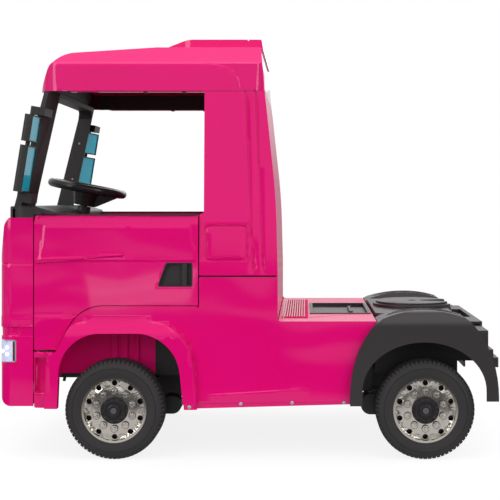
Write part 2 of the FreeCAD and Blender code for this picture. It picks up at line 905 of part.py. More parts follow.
def floor_pan():
    """Foot floor between the wheel boxes and across the cab, with its walls and ribs below."""
    front = nose_x + panel_wall + floor_front_gap
    arch_rear = arch_rear_x + panel_wall
    side_front = nose_x + nose_side_length
    low_inner = arch_wall_y - arch_wall
    outline = [
        (front, -dash_half_width, nose_corner_radius), (side_front, -floor_half_width + door_thickness, 0),
        (arch_box_front - arch_wall, -floor_half_width + door_thickness, 0),
        (arch_box_front - arch_wall, -arch_wall_y, 0),
        (arch_rear, -arch_wall_y, 0), (arch_rear, -floor_half_width, 0),
        (fender_front_x, -floor_half_width, 0), (fender_front_x, floor_half_width, 0),
        (arch_rear, floor_half_width, 0), (arch_rear, arch_wall_y, 0),
        (arch_box_front - arch_wall, arch_wall_y, 0),
        (arch_box_front - arch_wall, floor_half_width - door_thickness, 0),
        (side_front, floor_half_width - door_thickness, 0), (front, dash_half_width, nose_corner_radius),
    ]
    pan = prism("Z", outline, floor_z, floor_z + floor_wall)
    pieces = [pan]
    wall_front = arch_front_x + (arch_rear_x - arch_front_x) * arch_open_share
    for side in (-1, 1):
        inner, outer = sorted((side * low_inner, side * arch_wall_y))
        pieces.append(block(wall_front, arch_rear, inner, outer, floor_z, arch_top_z))
        wide_inner, wide_outer = sorted((side * low_inner, side * floor_half_width))
        pieces.append(block(arch_rear, arch_rear + arch_wall, wide_inner, wide_outer,
                            skirt_mid_z + cut_overrun, arch_top_z))
    rib_x = arch_rear + floor_rib_pitch
    while rib_x < fender_front_x:
        pieces.append(block(rib_x, rib_x + floor_wall, -floor_half_width + panel_wall,
                            floor_half_width - panel_wall, floor_z - floor_rib, floor_z))
        rib_x += floor_rib_pitch
    return join(pieces).cut(column_passage(column_gap * 2))


def rear_frame():
    """Box frame under the deck with the two hanger plates that carry the rear axle."""
    front = cab_rear_x + panel_wall
    rear = tail_x - tail_depth
    section = [
        (-frame_half_width, frame_bottom_z, frame_wall), (frame_half_width, frame_bottom_z, frame_wall),
        (frame_half_width, frame_top_z, 0), (-frame_half_width, frame_top_z, 0),
    ]
    inner = [
        (-frame_half_width + frame_wall, frame_bottom_z + frame_wall, 0),
        (frame_half_width - frame_wall, frame_bottom_z + frame_wall, 0),
        (frame_half_width - frame_wall, frame_top_z + cut_overrun, 0),
        (-frame_half_width + frame_wall, frame_top_z + cut_overrun, 0),
    ]
    box = prism("X", section, front, rear).cut(prism("X", inner, front + frame_wall, rear - frame_wall))
    pieces = [box]
    foot = hanger_foot_width / 2
    head = hanger_head_width / 2
    for side in (-1, 1):
        inner_y, outer_y = sorted((side * hanger_y, side * (hanger_y + hanger_thickness)))
        plate = prism("Y", [
            (rear_axle_x - foot, axle_height - hanger_drop, axle_tube_radius * 2),
            (rear_axle_x + foot, axle_height - hanger_drop, axle_tube_radius * 2),
            (rear_axle_x + head, frame_bottom_z + frame_wall * 3, 0),
            (rear_axle_x - head, frame_bottom_z + frame_wall * 3, 0),
        ], inner_y, outer_y)
        arm_inner, arm_outer = sorted((side * (frame_half_width - frame_wall),
                                       side * (hanger_y + hanger_thickness)))
        shelf = block(rear_axle_x - head, rear_axle_x + head, arm_inner, arm_outer,
                      frame_bottom_z + frame_wall * 2, frame_bottom_z + frame_wall * 3)
        pieces += [plate, shelf]
    neck_low = floor_z + floor_wall
    neck = block(front, front + frame_wall, -frame_half_width, frame_half_width, neck_low,
                 frame_bottom_z + frame_wall)
    pieces.append(neck)
    frame = join(pieces)
    hole = rod(axle_tube_radius, V(rear_axle_x, -half_width, axle_height),
               V(rear_axle_x, half_width, axle_height))
    return frame.cut(hole)


def rear_axle():
    """Solid axle across the truck, with a drive gearbox inboard of each rear wheel."""
    tip = wheel_outer_y - tyre_bulge - disc_inset - knuckle_gap
    bar = rod(axle_tube_radius, V(rear_axle_x, -tip, axle_height), V(rear_axle_x, tip, axle_height))
    pieces = [bar]
    inner = hanger_y + hanger_thickness
    outer = wheel_inner_y - panel_wall
    for side in (-1, 1):
        low_y, high_y = sorted((side * inner, side * outer))
        front = rear_axle_x - gearbox_length + gearbox_overlap
        low = axle_height - gearbox_depth / 2
        housing = prism("Y", [
            (front, low, gearbox_end_radius), (rear_axle_x + gearbox_overlap, low, gearbox_edge_radius),
            (rear_axle_x + gearbox_overlap, low + gearbox_depth, gearbox_edge_radius),
            (front, low + gearbox_depth, gearbox_end_radius),
        ], low_y, high_y)
        collar_end = wheel_inner_y + tyre_bulge + rim_lip_width - knuckle_gap
        collar = rod(collar_radius, V(rear_axle_x, side * inner, axle_height),
                     V(rear_axle_x, side * collar_end, axle_height))
        stub = rod(stub_radius, V(rear_axle_x, side * outer, axle_height),
                   V(rear_axle_x, side * tip, axle_height))
        pieces += [housing, collar, stub]
    return join(pieces)


def battery():
    """Battery block below the seat."""
    front = seat_front_x + battery_setback
    outline = rounded(front, front + battery_length, -battery_width / 2, battery_width / 2, seat_wall)
    return prism("Z", outline, floor_z + floor_wall, floor_z + floor_wall + battery_height)


# Nose

def nose_plan(inset, rear_x):
    """Plan outline of the nose with its rounded corners, moved in by an inset."""
    half = body_half_width - inset
    front = nose_x + inset
    radius = nose_corner_radius - inset
    return [(rear_x, -half, 0), (front, -half, radius), (front, half, radius), (rear_x, half, 0)]


def nose_side(inset, rear_x, low_z, top_z):
    """Side outline of the nose: upright front, then a slight lean up to a sloping brow."""
    front = nose_x + inset
    return [
        (rear_x, low_z, 0),
        (front, low_z, bumper_corner_radius),
        (front, nose_kink_z, nose_kink_radius),
        (front + nose_lean, cowl_z - nose_brow_height, nose_brow_radius),
        (front + nose_brow_run, top_z, 0),
        (rear_x, top_z, 0),
    ]


def nose_form(inset, rear_x, low_z, top_z):
    """Solid form of the nose, moved in by an inset."""
    form = prism("Z", nose_plan(inset, rear_x), low_z, top_z)
    return form.common(prism("Y", nose_side(inset, rear_x, low_z, top_z), -half_width, half_width))


def front_fascia():
    """Nose moulding: hooped front and corners, with bumper step, grille and lamp openings."""
    rear = nose_x + nose_side_length
    shell = nose_form(0, rear, bumper_bottom_z, cowl_z)
    shell = shell.cut(nose_form(panel_wall, rear + cut_overrun, bumper_bottom_z - cut_overrun,
                                cowl_z + cut_overrun))
    step = prism("Z", nose_plan(0, rear), bumper_step_z - bumper_step_height, bumper_step_z)
    step = step.cut(prism("Z", nose_plan(bumper_step_depth, rear + cut_overrun),
                          bumper_step_z - bumper_step_height, bumper_step_z))
    shell = shell.cut(step)
    grille = prism("X", rounded(-grille_half_width, grille_half_width, grille_z,
                                grille_z + grille_height, grille_corner),
                   nose_x - cut_overrun, nose_x + grille_cut)
    intake = prism("X", rounded(-intake_half_width, intake_half_width, intake_z,
                                intake_z + intake_height, intake_corner),
                   nose_x - cut_overrun, nose_x + grille_cut)
    shell = shell.cut(grille).cut(intake)
    for side in (-1, 1):
        shell = shell.cut(headlamp_space(side, 0))
        shell = shell.cut(fog_space(side, 0))
    # Upright flanges that stiffen the nose behind the door gap
    for side in (-1, 1):
        inner_y, outer_y = sorted((side * (body_half_width - panel_wall * 3),
                                   side * (body_half_width - panel_wall / 2)))
        flange = block(rear - panel_wall, rear, inner_y, outer_y, bumper_bottom_z + panel_wall,
                       cowl_z - panel_wall)
        shell = shell.fuse(flange)
    return shell.removeSplitter()


def headlamp_space(side, inset):
    """Space of one headlamp, wrapped round the nose corner."""
    low_y, high_y = sorted((side * (body_half_width - headlamp_width),
                            side * (body_half_width + cut_overrun)))
    outline = rounded(low_y + inset, high_y - inset, headlamp_z + inset,
                      headlamp_z + headlamp_height - inset, headlamp_corner)
    return prism("X", outline, nose_x - cut_overrun, nose_x + headlamp_wrap - inset)


def fog_space(side, inset):
    """Space of one round-cornered fog lamp."""
    middle = side * (fog_y + fog_width / 2)
    outline = rounded(middle - fog_width / 2 + inset, middle + fog_width / 2 - inset,
                      fog_z + inset, fog_z + fog_height - inset, handle_corner)
    return prism("X", outline, nose_x - cut_overrun, nose_x + fog_depth)


def headlamps():
    """Wrap-round headlamp lenses and the fog lamps below them, flush with the nose."""
    rear = nose_x + nose_side_length
    outer = prism("Z", nose_plan(0, rear), bumper_bottom_z, nose_kink_z)
    inner = prism("Z", nose_plan(headlamp_depth, rear + cut_overrun), bumper_bottom_z - cut_overrun,
                  nose_kink_z)
    band = outer.cut(inner)
    lenses = []
    for side in (-1, 1):
        lenses.append(band.common(headlamp_space(side, 0)))
        lenses.append(band.common(fog_space(side, 0)))
    return Part.makeCompound([solid for lens in lenses for solid in lens.Solids])


def slatted(half, low_z, height, slats, corner, frame_width):
    """Rounded frame filled with level slats that slope outwards, set into the nose."""
    front = nose_x
    rear = nose_x + grille_depth
    outer = rounded(-half, half, low_z, low_z + height, corner)
    inner = rounded(-half + frame_width, half - frame_width, low_z + frame_width,
                    low_z + height - frame_width, corner / 2)
    frame = prism("X", outer, front, rear).cut(prism("X", inner, front - cut_overrun, rear + cut_overrun))
    pieces = [frame]
    pitch = (height - 2 * frame_width) / (slats + 1)
    lean = grille_slat_height / 3
    thin = grille_slat_height / 3
    for index in range(slats):
        z = low_z + frame_width + pitch * (index + 1)
        slat = [(front + thin, z - thin, 0), (front + thin, z, thin / 3),
                (rear, z + lean + thin, 0), (rear, z + lean, 0)]
        pieces.append(prism("Y", slat, -half + frame_width / 2, half - frame_width / 2))
    for side in (-1, 0, 1):
        post = side * half / 2
        pieces.append(block(rear - thin, rear, post - thin, post + thin,
                            low_z + frame_width / 2, low_z + height - frame_width / 2))
    return join(pieces)


def grille():
    """Upper grille and lower intake, as two slatted frames."""
    upper = slatted(grille_half_width, grille_z, grille_height, grille_slats, grille_corner, grille_frame)
    lower = slatted(intake_half_width, intake_z, intake_height, intake_slats, intake_corner,
                    grille_frame / 2)
    return Part.makeCompound([upper, lower])


# Cab sides

def side_panel():
    """Right lower side: arch with flare, step pocket, skirt and quarter below the sleeper."""
    front = nose_x + nose_side_length + panel_gap
    door_front_low = door_low_z - 2 * panel_gap
    low_end = nose_x + nose_side_length + panel_gap + door_low_length
    outline = [
        (front, skirt_front_z, panel_wall),
        (front, door_front_low, 0),
        (low_end + panel_gap * 2, door_front_low, flare_fillet),
        (low_end + door_arch_run + panel_gap * 2, door_high_z - panel_gap * 2, door_arch_radius),
        (door_rear_x + panel_gap, door_high_z - panel_gap * 2, 0),
        (door_rear_x + panel_gap, cab_split_z - panel_gap, 0),
        (cab_rear_x, cab_split_z - panel_gap, 0),
        (cab_rear_x, deck_z, deck_edge_radius),
        (deck_rear_x - panel_gap, deck_z, 0),
    ]
    for rise in quarter_rise_shares:
        run = (fender_open_half_length + quarter_room) * math.sqrt(1 - rise * rise)
        level = fender_open_z + (fender_open_height + quarter_room) * rise
        outline.append((min(deck_rear_x - panel_gap, fender_middle_x - run), level, 0))
    outline += [
        (fender_middle_x - fender_open_half_length - quarter_room, skirt_rear_z + panel_gap, 0),
        (fender_front_x - panel_gap, skirt_rear_z, 0),
        (arch_rear_x, skirt_mid_z, 0),
    ]
    panel = flat_skin(outline, panel_wall)
    low = skirt_mid_z - cut_overrun * 3
    opening = prism("Y", arch_outline(0, low), 0, half_width + cut_overrun)
    flare = prism("Y", arch_outline(flare_width, skirt_mid_z), body_half_width - panel_wall,
                  body_half_width + flare_height)
    flare = flare.common(prism("Y", [
        (front + flare_fillet, skirt_front_z, 0), (front + flare_fillet, door_front_low, 0),
        (low_end, door_front_low, 0), (low_end + door_arch_run, door_high_z - panel_gap * 3,
                                       door_arch_radius),
        (cab_rear_x, door_high_z - panel_gap * 3, 0), (cab_rear_x, skirt_mid_z, 0),
        (arch_rear_x, skirt_mid_z, 0),
    ], 0, half_width))
    slope = prism("X", [
        (body_half_width - panel_wall - cut_overrun, low, 0),
        (body_half_width + flare_height, low, 0),
        (body_half_width + flare_height, arch_top_z, 0),
        (body_half_width, arch_top_z + flare_width, 0),
        (body_half_width - panel_wall - cut_overrun, arch_top_z + flare_width, 0),
    ], nose_x, tail_x)
    panel = panel.fuse(flare.common(slope))
    panel = panel.cut(opening)
    pocket_top = door_front_low - pocket_head
    x0 = front + pocket_inset
    x1 = arch_front_x - pocket_inset
    tub = prism("Y", rounded(x0 - panel_wall / 2, x1 + panel_wall / 2, pocket_low_z - panel_wall / 2,
                             pocket_top + panel_wall / 2, pocket_corner),
                body_half_width - pocket_depth - panel_wall, body_half_width - panel_wall / 2)
    tub = tub.cut(prism("Y", arch_outline(flare_width - panel_wall, low), 0, half_width))
    panel = panel.fuse(tub)
    pocket = prism("Y", rounded(x0, x1, pocket_low_z, pocket_top, pocket_corner),
                   body_half_width - pocket_depth, half_width)
    panel = panel.cut(pocket.cut(prism("Y", arch_outline(flare_width, low), 0, half_width)))
    hinge_x, hinge_y = door_hinge()
    lug = block(hinge_x - hinge_lug / 2, hinge_x + hinge_lug, body_half_width - pocket_depth,
                body_half_width - panel_wall / 2, door_front_low - hinge_lug, door_front_low)
    pin = rod(door_pin_radius, V(hinge_x, hinge_y, door_front_low - hinge_lug / 2),
              V(hinge_x, hinge_y, door_low_z + door_pin_length))
    return join([panel, lug, pin])


def arch_liner():
    """Inner wheel box over the right front wheel: crown, inner wall and front wall."""
    crown_z = door_high_z - flare_width
    outer_y = body_half_width - panel_wall
    rear = arch_front_x + (arch_rear_x - arch_front_x) * arch_open_share
    front = arch_box_front
    back = arch_rear_x + panel_wall
    outside = [
        (front - arch_wall, floor_z, 0), (front - arch_wall, crown_z, arch_front_radius),
        (back + arch_wall, crown_z, arch_rear_radius), (back + arch_wall, arch_top_z, 0),
        (back, arch_top_z, 0), (back, crown_z - arch_wall, arch_rear_radius),
        (front, crown_z - arch_wall, arch_front_radius), (front, floor_z, 0),
    ]
    crown = prism("Y", outside, arch_wall_y, outer_y)
    wall = prism("Y", [
        (front - arch_wall, floor_z + floor_wall, 0), (front - arch_wall, crown_z, arch_front_radius),
        (back + arch_wall, crown_z, arch_rear_radius), (back + arch_wall, arch_top_z, 0),
        (rear, arch_top_z, 0), (rear, floor_z + floor_wall, 0),
    ], arch_wall_y - arch_wall, arch_wall_y)
    box = join([crown, wall])
    door_space = prism("Y", door_outline(panel_gap), body_half_width - door_thickness - panel_gap,
                       half_width)
    pocket_space = block(nose_x, arch_front_x, body_half_width - panel_wall * 2 - pocket_depth, half_width,
                         floor_z - cut_overrun, door_low_z)
    return box.cut(door_space).cut(pocket_space)


def door():
    """Right door: outer skin, rim flange all round, hinge eyes and a raised character band."""
    leaf = flat_skin(door_outline(0), door_thickness)
    pocket = door_outline(-door_rim)
    hollow = prism("Y", pocket, body_half_width - door_thickness - cut_overrun, body_half_width - door_skin)
    shell = leaf.cut(hollow)
    front = nose_x + nose_side_length + panel_gap
    taper_share = 0.55
    band_end = front + (door_rear_x - front) * taper_share
    band_z = cab_split_z + flare_width
    band_start = front + door_band_depth
    band = prism("Y", [
        (band_start, band_z, 0), (band_start, band_z + door_band_height, 0),
        (band_end, band_z + door_band_height * 2, 0),
        (band_end, band_z + door_band_height * 2 - door_band_taper, 0),
    ], body_half_width - door_skin / 2, body_half_width + door_band_depth)
    shell = shell.fuse(band)
    recess = prism("Y", handle_outline(0), body_half_width - handle_depth, body_half_width + cut_overrun)
    back = prism("Y", handle_outline(-handle_wall), body_half_width - door_thickness,
                 body_half_width - door_skin / 2)
    shell = shell.fuse(back).cut(recess)
    hinge_x, hinge_y = door_hinge()
    for low, high in ((door_low_z, door_low_z + door_pin_length),
                      (door_top_z - door_pin_length, door_top_z)):
        eye = block(front + door_hinge_inset / 4, front + door_hinge_inset * 2,
                    body_half_width - door_thickness,
                    body_half_width - door_skin / 2, low, high)
        shell = shell.fuse(eye)
        bore = rod(door_pin_radius + door_pin_gap, V(hinge_x, hinge_y, low - cut_overrun),
                   V(hinge_x, hinge_y, high + cut_overrun / 2))
        shell = shell.cut(bore)
    return shell.removeSplitter()


def door_hinge():
    """Plan position of the right door's upright hinge pins."""
    return nose_x + nose_side_length + panel_gap + door_hinge_inset, body_half_width - door_hinge_depth


def handle_outline(inset):
    """Slanted outline of the door handle's cup, moved in by an inset."""
    return [
        (handle_x + inset, handle_z + inset, handle_corner),
        (handle_x + handle_length - inset, handle_z + inset, handle_corner),
        (handle_x + handle_length - inset, handle_z + handle_height - inset, handle_corner),
        (handle_x + handle_slant + inset, handle_z + handle_height - inset, handle_corner * 2),
    ]


def door_handle():
    """Handle cup let into the door, with an upright grip bar across its mouth."""
    low = body_half_width - handle_depth
    cup = prism("Y", handle_outline(0), low, body_half_width)
    cup = cup.cut(prism("Y", handle_outline(handle_wall), low + handle_wall, body_half_width + cut_overrun))
    bar_x = handle_x + handle_length * handle_bar_share
    bar = prism("Z", rounded(bar_x, bar_x + handle_bar, body_half_width - handle_wall * 2,
                             body_half_width, handle_wall / 2), handle_z + handle_wall / 2,
                handle_z + handle_height - handle_wall / 2)
    return join([cup, bar])


def sleeper_side():
    """Right side of the sleeper box, from the split line up to the roof."""
    gap = panel_gap / 2
    outline = [
        (door_rear_x + panel_gap, cab_split_z + gap, 0),
        (door_rear_x + panel_gap, sill_z, 0),
        (sleeper_window_x, sill_z + panel_wall, 0),
        (sleeper_window_x, roof_base_z, 0),
        (cab_rear_top_x, roof_base_z, 0),
    ]
    belly = cab_rear_curve()[0]
    outline += [belly, (cab_rear_x, cab_split_z + gap, 0)]
    panel = skin(door_rear_x, cab_rear_x + cut_overrun, sleeper_wall, 0)
    panel = panel.common(prism("Y", outline, 0, half_width))
    cutter = skin(door_rear_x, cab_rear_x, groove_depth + cut_overrun, -cut_overrun)
    for index in range(2):
        x = groove_front_x + groove_pitch * index
        groove = prism("Y", [
            (x, window_top_z, 0), (x + groove_width, window_top_z, 0),
            (x + groove_lean + groove_width, groove_low_z, 0), (x + groove_lean, groove_low_z, 0),
        ], 0, half_width)
        panel = panel.cut(cutter.common(groove))
    frame = prism("Y", rounded(emboss_x, emboss_x + emboss_length, emboss_z, emboss_z + emboss_height,
                               emboss_corner), 0, half_width)
    slim = prism("Y", rounded(emboss_x + groove_width, emboss_x + emboss_length - groove_width,
                              emboss_z + groove_width, emboss_z + emboss_height - groove_width,
                              emboss_corner / 2), 0, half_width)
    line = skin(emboss_x, emboss_x + emboss_length, emboss_depth + cut_overrun, -cut_overrun)
    panel = panel.cut(line.common(frame.cut(slim)))
    return panel.removeSplitter()


def rear_wall():
    """Back wall of the cab, curved like the sleeper's back edge, with two upright swages."""
    half = body_half_width - panel_wall
    belly = cab_rear_curve()[0]
    outline = [
        (cab_rear_x, deck_z, 0), (cab_rear_x, cab_split_z, gentle_radius),
        (belly[0], belly[1], gentle_radius),
        (cab_rear_top_x, roof_base_z, 0), (cab_rear_top_x - sleeper_wall, roof_base_z, 0),
        (belly[0] - sleeper_wall, belly[1], gentle_radius),
        (cab_rear_x - sleeper_wall, cab_split_z, gentle_radius), (cab_rear_x - sleeper_wall, deck_z, 0),
    ]
    wall = prism("Y", outline, -half, half)
    section = [(-half, deck_z - cut_overrun, 0), (half, deck_z - cut_overrun, 0),
               (half, cab_split_z, gentle_radius),
               (sill_half_width + cut_overrun - sleeper_wall, sill_z, gentle_radius),
               (window_half_width - sleeper_wall, roof_base_z + cut_overrun, 0),
               (-window_half_width + sleeper_wall, roof_base_z + cut_overrun, 0),
               (-sill_half_width - cut_overrun + sleeper_wall, sill_z, gentle_radius),
               (-half, cab_split_z, gentle_radius)]
    wall = wall.common(prism("X", section, 0, cab_rear_x + cut_overrun))
    side = skin(0, cab_rear_x + cut_overrun, sleeper_wall, 0)
    return wall.cut(side).cut(mirrored(side))


# Roof

def roof_side(inset):
    """Side outline of the roof: blunt brow, rising top and upright back."""
    back = cab_rear_top_x - inset
    low = roof_base_z - (cut_overrun if inset else 0)
    return [
        (roof_front_x + inset, low, 0),
        (roof_front_x + roof_brow_lean + inset, roof_front_top_z - roof_brow_drop - inset,
         roof_nose_radius - inset),
        (roof_mid_x, roof_front_top_z + roof_step - inset, 0),
        (back - roof_step * 2, roof_front_top_z + roof_step - inset, roof_step),
        (back, low, 0),
    ]


def roof_section(inset):
    """Section of the roof seen from the front: leaning sides, step and round shoulders."""
    base = window_half_width - inset
    low = roof_base_z - (cut_overrun if inset else 0)
    step_in = base - roof_step * 2
    return [
        (-base, low, 0), (-base + roof_step / 2, roof_step_z, 0), (-step_in, roof_step_z + roof_step, 0),
        (-roof_shoulder_y + inset, truck_height - inset, roof_shoulder_radius),
        (roof_shoulder_y - inset, truck_height - inset, roof_shoulder_radius),
        (step_in, roof_step_z + roof_step, 0), (base - roof_step / 2, roof_step_z, 0), (base, low, 0),
    ]


def roof_plan(inset):
    """Plan outline of the roof, rounded at its front corners."""
    half = window_half_width - inset
    return [
        (roof_front_x + inset, -half, roof_corner_radius),
        (cab_rear_top_x - inset, -half, roof_rear_radius),
        (cab_rear_top_x - inset, half, roof_rear_radius), (roof_front_x + inset, half, roof_corner_radius),
    ]


def roof_form(inset):
    """Solid form of the roof, moved in by an inset."""
    form = prism("Y", roof_side(inset), -half_width, half_width)
    form = form.common(prism("X", roof_section(inset), roof_front_x, cab_rear_x))
    return form.common(prism("Z", roof_plan(inset), roof_base_z - cut_overrun, truck_height))


def roof_shell():
    """Thin roof moulding with a raised air fairing along its rear half."""
    shell = roof_form(0).cut(roof_form(roof_wall))
    top = roof_front_top_z + roof_step
    half = roof_shoulder_y - roof_shoulder_radius / 2
    rear = cab_rear_top_x - roof_step
    fairing = prism("Y", [
        (fairing_front_x, top - fairing_lap, 0),
        (fairing_front_x + fairing_rise_run, truck_height, fairing_rise_run),
        (rear - roof_step, truck_height, roof_step), (rear, top - fairing_lap, 0),
    ], -half, half)
    narrow = prism("Z", [
        (fairing_front_x, -half + fairing_inset, fairing_inset / 2),
        (fairing_front_x + fairing_rise_run, -half, fairing_inset),
        (rear, -half, 0), (rear, half, 0),
        (fairing_front_x + fairing_rise_run, half, fairing_inset),
        (fairing_front_x, half - fairing_inset, fairing_inset / 2),
    ], top - roof_wall, truck_height + cut_overrun)
    fairing = fairing.common(narrow)
    joint = block(fairing_joint_x, fairing_joint_x + fairing_joint_width, -half_width, half_width,
                  truck_height - fairing_joint_width, truck_height + cut_overrun)
    return join([shell, fairing]).cut(joint)


def roof_liner():
    """Dark rail round the inside of the roof above the windows."""
    low = roof_base_z
    high = low + liner_height
    outer = roof_form(roof_wall)
    inner = roof_form(roof_wall + liner_thickness)
    rail = outer.cut(inner)
    return rail.common(block(roof_front_x, cab_rear_x, -half_width, half_width, low, high))


def pillar_ring(front_x, depth, inner_y, outer_y, z):
    """Level outline of the right corner pillar, narrower towards its outer side."""
    taper = (outer_y - inner_y) * pillar_taper_share
    return [V(front_x, inner_y, z), V(front_x + depth, inner_y, z),
            V(front_x + depth - taper, outer_y, z), V(front_x + taper, outer_y, z)]


def pillar_form():
    """Right corner pillar, leaning back and narrowing towards the roof."""
    foot = pillar_ring(pillar_foot_x, pillar_foot_depth, pillar_inner_foot_y, sill_half_width,
                       cowl_top_z - cowl_wall)
    head = pillar_ring(pillar_head_x, pillar_head_depth, pillar_inner_head_y, window_half_width,
                       roof_base_z)
    return frustum(foot, head)


def column_passage(gap):
    """Round space along the steering column, wider than its shaft by a gap."""
    axis = column_axis()
    foot = crank_centre()
    return rod(column_radius + gap, foot, V(wheel_centre_x, 0, wheel_centre_z) - axis * steer_pad_drop)


def cowl_shell():
    """Black cowl along the top of the nose, open below, falling towards the cab."""
    front = cowl_front_x
    rear = front + cowl_length
    outer = body_half_width - panel_wall - panel_gap
    low = cowl_z - cowl_lip
    fall = cowl_top_z - cowl_drop
    body = prism("Y", [
        (front, low, 0), (front + cowl_lean, cowl_top_z, cowl_wall),
        (rear - cowl_slope, cowl_top_z, cowl_slope),
        (rear, fall, cowl_wall), (rear, cowl_z, 0), (nose_x + nose_side_length, cowl_z, 0),
        (nose_x + nose_side_length, low, 0),
    ], -outer, outer)
    hollow = prism("Y", [
        (front + cowl_wall * 2, low - cut_overrun, 0), (front + cowl_wall * 2, cowl_top_z - cowl_wall, 0),
        (rear - cowl_slope, cowl_top_z - cowl_wall, cowl_slope), (rear - cowl_wall, fall - cowl_wall, 0),
        (rear - cowl_wall, low - cut_overrun, 0),
    ], -outer + cowl_wall, outer - cowl_wall)
    plan = prism("Z", [
        (rear, -outer, 0), (front, -outer, cowl_corner_radius), (front, outer, cowl_corner_radius),
        (rear, outer, 0),
    ], low, cowl_top_z)
    nose = nose_form(0, nose_x + nose_side_length, bumper_bottom_z, cowl_z)
    return body.cut(hollow).common(plan).cut(nose)


def windscreen_header():
    """Bar across the top of the open windscreen, with round lower corners."""
    lean = (pillar_head_x - pillar_foot_x) / (roof_base_z - cowl_top_z + cowl_wall)
    run = header_drop * lean
    bar = prism("Y", [
        (pillar_head_x - run, roof_base_z - header_drop, 0), (pillar_head_x, roof_base_z, 0),
        (pillar_head_x + pillar_head_depth, roof_base_z, 0),
        (pillar_head_x + pillar_head_depth - run, roof_base_z - header_drop, 0),
    ], -pillar_inner_head_y - cut_overrun, pillar_inner_head_y + cut_overrun)
    opening = rounded(-pillar_inner_head_y, pillar_inner_head_y, sill_z, roof_base_z - header_depth,
                      header_drop)
    return bar.cut(prism("X", opening, nose_x, cab_rear_x))


def column_shroud():
    """Round collar of the steering column, standing on the back of the cowl."""
    head = V(wheel_centre_x, 0, wheel_centre_z) - column_axis() * (steer_pad_drop + panel_gap)
    collar = rod(shroud_radius, crank_centre(), head)
    return collar.common(block(nose_x, cab_rear_x, -half_width, half_width, dash_top_z + panel_gap,
                               truck_height))


def windscreen_frame():
    """Cowl, both corner pillars, the header and the upper hinge tabs of the doors."""
    cowl = cowl_shell()
    rear = cowl_front_x + cowl_length
    hinge_x, hinge_y = door_hinge()
    tab_low = door_top_z + panel_gap
    pieces = [windscreen_header(), column_shroud()]
    for side in (-1, 1):
        low_y, high_y = sorted((side * (body_half_width - door_thickness - panel_gap * 2),
                                side * half_width))
        cowl = cowl.cut(block(nose_x + nose_side_length, rear + cut_overrun, low_y, high_y,
                              cowl_z - cowl_lip * 2, tab_low))
        tab_inner, tab_outer = sorted((side * (body_half_width - door_thickness * 2),
                                       side * (hinge_y + door_hinge_depth)))
        pieces.append(block(hinge_x - hinge_lug, hinge_x + hinge_lug, tab_inner, tab_outer, tab_low,
                            tab_low + cowl_wall))
        pieces.append(rod(door_pin_radius, V(hinge_x, side * hinge_y, door_top_z - door_pin_length),
                          V(hinge_x, side * hinge_y, tab_low + cowl_wall / 2)))
    pillar = pillar_form()
    frame = join([cowl, pillar, mirrored(pillar)] + pieces)
    return frame.cut(column_passage(column_gap * 2))


# Deck, coupling and fenders

def deck_plate():
    """Walk deck behind the cab with lengthwise ribs and an open service bay."""
    front = cab_rear_x + panel_gap / 2
    inner = body_half_width - panel_wall
    plate = prism("Z", rounded(front, deck_rear_x - panel_gap, -inner, inner, 0), deck_z - deck_wall,
                  deck_z)
    bay = prism("Z", rounded(bay_front_x, bay_front_x + bay_length, -bay_half_width, bay_half_width,
                             handle_corner), deck_z - deck_wall - cut_overrun, deck_z + cut_overrun)
    plate = plate.cut(bay)
    ribs = []
    y = -deck_rib_half_span
    while y <= deck_rib_half_span:
        ribs.append(block(front + deck_rib_pitch, front + deck_length * deck_rib_share,
                          y - deck_rib_width / 2,
                          y + deck_rib_width / 2, deck_z - deck_wall / 2, deck_z + deck_rib_height))
        y += deck_rib_pitch * 2
    return join([plate] + ribs)


def service_bay():
    """Dark open tray let into the deck, with its flange on top and a short lever."""
    wall = bay_wall
    x0, x1 = bay_front_x, bay_front_x + bay_length
    half = bay_half_width
    low = deck_z - bay_depth
    tub = prism("Z", rounded(x0 + panel_gap / 2, x1 - panel_gap / 2, -half + panel_gap / 2,
                             half - panel_gap / 2, handle_corner), low, deck_z)
    cavity = prism("Z", rounded(x0 + wall, x1 - wall, -half + wall, half - wall, handle_corner / 2),
                   low + wall, deck_z + cut_overrun)
    flange = prism("Z", rounded(x0 - wall, x1 + wall, -half - wall, half + wall, handle_corner), deck_z,
                   deck_z + wall / 2)
    flange = flange.cut(prism("Z", rounded(x0 + wall, x1 - wall, -half + wall, half - wall,
                                           handle_corner / 2),
                              deck_z - cut_overrun, deck_z + cut_overrun))
    grip_x = x0 + bay_length * bay_grip_share
    span = half * bay_grip_span_share
    level = deck_z - lever_radius
    grip = rod(lever_radius, V(grip_x, -span, level), V(grip_x, span, level))
    posts = [block(grip_x - lever_radius, grip_x + lever_radius, side * span - lever_radius,
                   side * span + lever_radius, low, deck_z) for side in (-1, 1)]
    return join([tub.cut(cavity), flange, grip] + posts)


